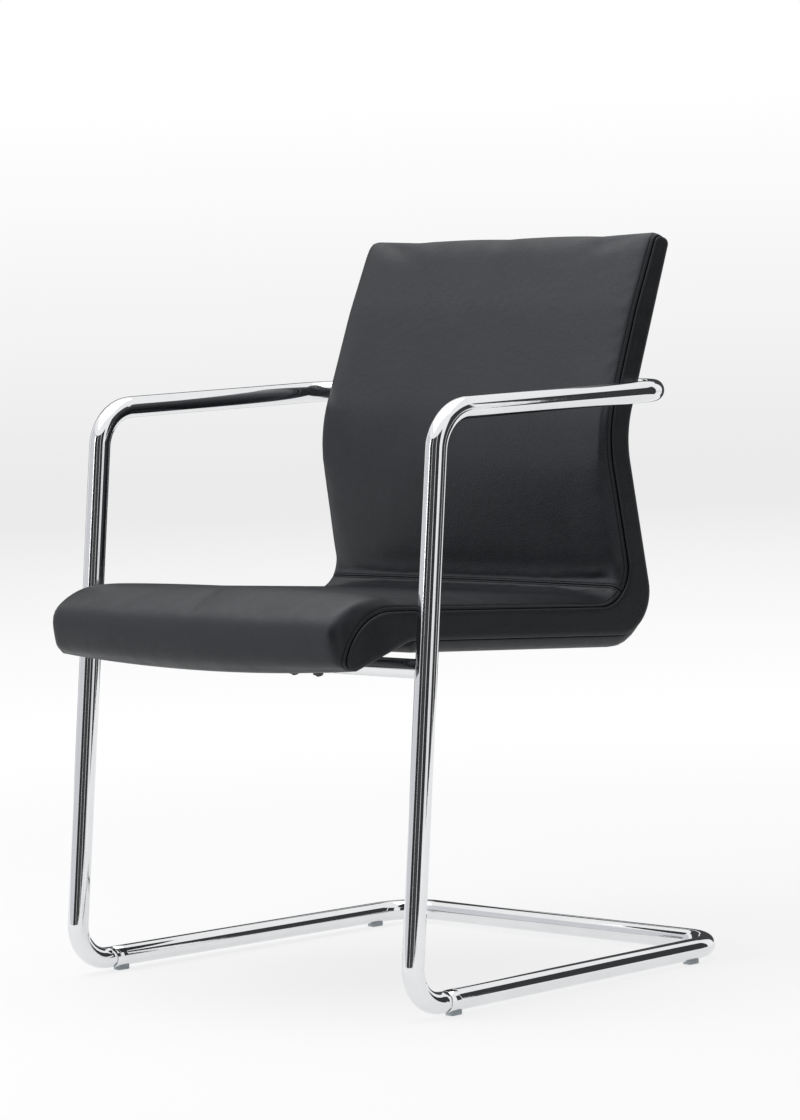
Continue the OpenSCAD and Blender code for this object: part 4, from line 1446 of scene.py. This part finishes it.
def floor_material():
    """Pale floor that fades into the white surroundings away from the chair"""
    material, tree, shader, place = new_material("studio_floor")
    shader.inputs["Base Color"].default_value = (*props().finish.floor, 1)
    shader.inputs["Roughness"].default_value = 0.9
    shader.inputs["Specular IOR Level"].default_value = 0.1
    reach = add_node(tree, "ShaderNodeVectorMath", {"operation": "LENGTH"})
    tree.links.new(place, reach.inputs[0])
    reach = reach.outputs["Value"]
    near = props().studio.floor_white
    fade = remap(tree, reach, near, 1.0, WHITE_FROM, WHITE_TO, "SMOOTHSTEP")
    white = add_node(tree, "ShaderNodeEmission")
    far = remap(tree, reach, 0.0, 1.0, GREY_FROM, GREY_TO)
    tree.links.new(ramp(tree, far, (1, 1, 1), FAR_GREY, 0.0, 1.0), white.inputs["Color"])
    share = combine(tree, "MULTIPLY", fade, seen_directly(tree))
    show_mix(tree, share, shader.outputs[0], white.outputs[0], "Material Output")
    return material


def stage_piece(name, bm, material):
    """Makes a piece of the studio, which isn't part of the chair"""
    piece = new_piece(name, bm, material)
    return piece


def area_light(name, place, towards, width, height, power):
    """Adds a rectangular light that the camera doesn't see"""
    data = bpy.data.lights.new(name, "AREA")
    data.shape = "RECTANGLE"
    data.size, data.size_y = width, height
    data.energy = power
    lamp = bpy.data.objects.new(name, data)
    bpy.context.scene.collection.objects.link(lamp)
    lamp.location = place
    lamp.rotation_euler = (Vector(towards) - Vector(place)).to_track_quat("-Z", "Y").to_euler()
    lamp.visible_camera = False
    return lamp


# Cards round the studio that chrome and leather mirror: start and end azimuth, and brightness.
# Azimuth 0 is in front of the chair and 90 on its +X side. Then their distance and heights.
CARDS = (
    (-78, -16, 0.70),
    (-14, 12, 0.035),
    (14, 46, 0.055),
    (49, 76, 0.035),
    (100, 127, 0.045),
    (130, 158, 0.045),
    (184, 221, 0.06),
    (224, 262, 0.06),
)
CARD_REACH = 2.3
CARD_LOW, CARD_HIGH = 0.04, 1.75


# The photograph's camera: turn, rise and roll in radians, its place from the middle of the front
# floor corners, and its focal length in pixels of a picture with so many rows
CAMERA_ANGLES = (0.806822, 0.0701423, -0.0369722)
CAMERA_PLACE = (3.85531, -3.41244, 0.85553)
CAMERA_PIXELS = 4559.89
PHOTO_ROWS = 1120


class Studio(bpy.types.Operator):
    """Make the floor, the studio's cards, the lights, the world and the camera"""

    bl_idname = "armchair.studio"
    bl_label = "Studio"

    def execute(self, context):
        scene = context.scene
        studio = props().studio
        scene.view_settings.view_transform = "Standard"
        bm = bmesh.new()
        bmesh.ops.create_circle(bm, cap_ends=True, segments=128, radius=12.0)
        stage_piece("studio_floor", bm, floor_material())
        for start, end, bright in CARDS:
            self.card(start, end, bright)
        area_light("ceiling", (-0.3, -0.4, 2.9), (0, 0, 0.3), 3.2, 3.2, studio.ceiling)
        area_light("front", (-1.6, -3.0, 1.5), (0, 0, 0.5), 2.0, 1.4, studio.key)
        self.world(scene, studio)
        self.camera(scene)
        return {"FINISHED"}

    @staticmethod
    def card(start, end, bright):
        """Adds a curved card that only mirrors show"""
        bm = bmesh.new()
        a = math.radians(start)
        out = Vector((math.sin(a), -math.cos(a), 0)) * CARD_REACH
        ends = [bm.verts.new(out + Vector((0, 0, z))) for z in (CARD_LOW, CARD_HIGH)]
        bmesh.ops.spin(
            bm,
            geom=[bm.edges.new(ends)],
            cent=(0, 0, 0),
            axis=(0, 0, 1),
            angle=math.radians(end - start),
            steps=24,
            use_duplicate=False,
        )
        glow = glowing(f"card_{start % 360}", (bright, bright, bright * 1.05))
        card = stage_piece(f"studio_card_{start % 360}", bm, glow)
        for ray in ("camera", "diffuse", "shadow", "transmission", "volume_scatter"):
            setattr(card, "visible_" + ray, False)

    @staticmethod
    def world(scene, studio):
        """White surroundings, grey near the horizon, that light the chair less than they show"""
        world = bpy.data.worlds.new("studio")
        scene.world = world
        world.use_nodes = True
        tree = world.node_tree
        shown = tree.nodes["Background"]
        shown.inputs["Strength"].default_value = 1.0
        rise = add_node(tree, "ShaderNodeSeparateXYZ")
        tree.links.new(add_node(tree, "ShaderNodeTexCoord").outputs["Generated"], rise.inputs[0])
        high = remap(tree, rise.outputs["Z"], 0.0, 1.0, -0.05, 0.03)
        tree.links.new(ramp(tree, high, FAR_GREY, (1, 1, 1), 0.0, 1.0), shown.inputs["Color"])
        white = (1, 1, 1, 1)
        ambient = add_node(tree, "ShaderNodeBackground", Color=white, Strength=studio.ambient)
        share = seen_directly(tree)
        show_mix(tree, share, ambient.outputs[0], shown.outputs[0], "World Output")

    @staticmethod
    def camera(scene):
        """The photograph's camera, as fitted to the chair's straight tubes"""
        turn, rise, roll = CAMERA_ANGLES
        level = math.cos(rise)
        back = Vector((math.sin(turn) * level, -math.cos(turn) * level, math.sin(rise)))
        right = Vector((math.cos(turn), math.sin(turn), 0))
        up = back.cross(right)
        across = right * math.cos(roll) + up * math.sin(roll)
        upright = up * math.cos(roll) - right * math.sin(roll)
        data = bpy.data.cameras.new("photo_camera")
        data.sensor_fit = "VERTICAL"
        data.sensor_height = 36.0
        data.lens = CAMERA_PIXELS * 36.0 / PHOTO_ROWS
        camera = bpy.data.objects.new("photo_camera", data)
        scene.collection.objects.link(camera)
        x, y, z = CAMERA_PLACE
        place = Vector((x, front_corner_y() + y, z))
        camera.matrix_world = directed(across, upright, back, place)
        scene.camera = camera


OPERATORS = (
    TubeFrame,
    Glides,
    SeatPad,
    BackPad,
    SideBands,
    OuterCover,
    UndersidePad,
    Stitching,
    Fittings,
    Studio,
)


class ArmchairPanel(bpy.types.Panel):
    """Lists the chair's pieces and sizes"""

    bl_idname = "VIEW3D_PT_armchair"
    bl_label = "Armchair"
    bl_space_type = "VIEW_3D"
    bl_region_type = "UI"
    bl_category = "Armchair"

    def draw(self, context):
        layout = self.layout
        for operator in OPERATORS:
            layout.operator(operator.bl_idname)
        chair = context.scene.armchair
        for group in (chair.tube, chair.shell, chair.sewing, chair.finish, chair.studio):
            box = layout.box()
            for name in group.__annotations__:
                box.prop(group, name)


CLASSES = (
    TubeSizes,
    ShellSizes,
    SewingSizes,
    Finishes,
    StudioSettings,
    Armchair,
    *OPERATORS,
    ArmchairPanel,
)


def register():
    for cls in CLASSES:
        bpy.utils.register_class(cls)
    bpy.types.Scene.armchair = PointerProperty(type=Armchair)


def unregister():
    del bpy.types.Scene.armchair
    for cls in reversed(CLASSES):
        bpy.utils.unregister_class(cls)


def main():
    register()
    bpy.ops.armchair.tube_frame()
    bpy.ops.armchair.glides()
    bpy.ops.armchair.seat_pad()
    bpy.ops.armchair.back_pad()
    bpy.ops.armchair.side_bands()
    bpy.ops.armchair.outer_cover()
    bpy.ops.armchair.underside_pad()
    bpy.ops.armchair.stitching()
    bpy.ops.armchair.fittings()
    bpy.ops.armchair.studio()


if __name__ == "__main__":
    main()
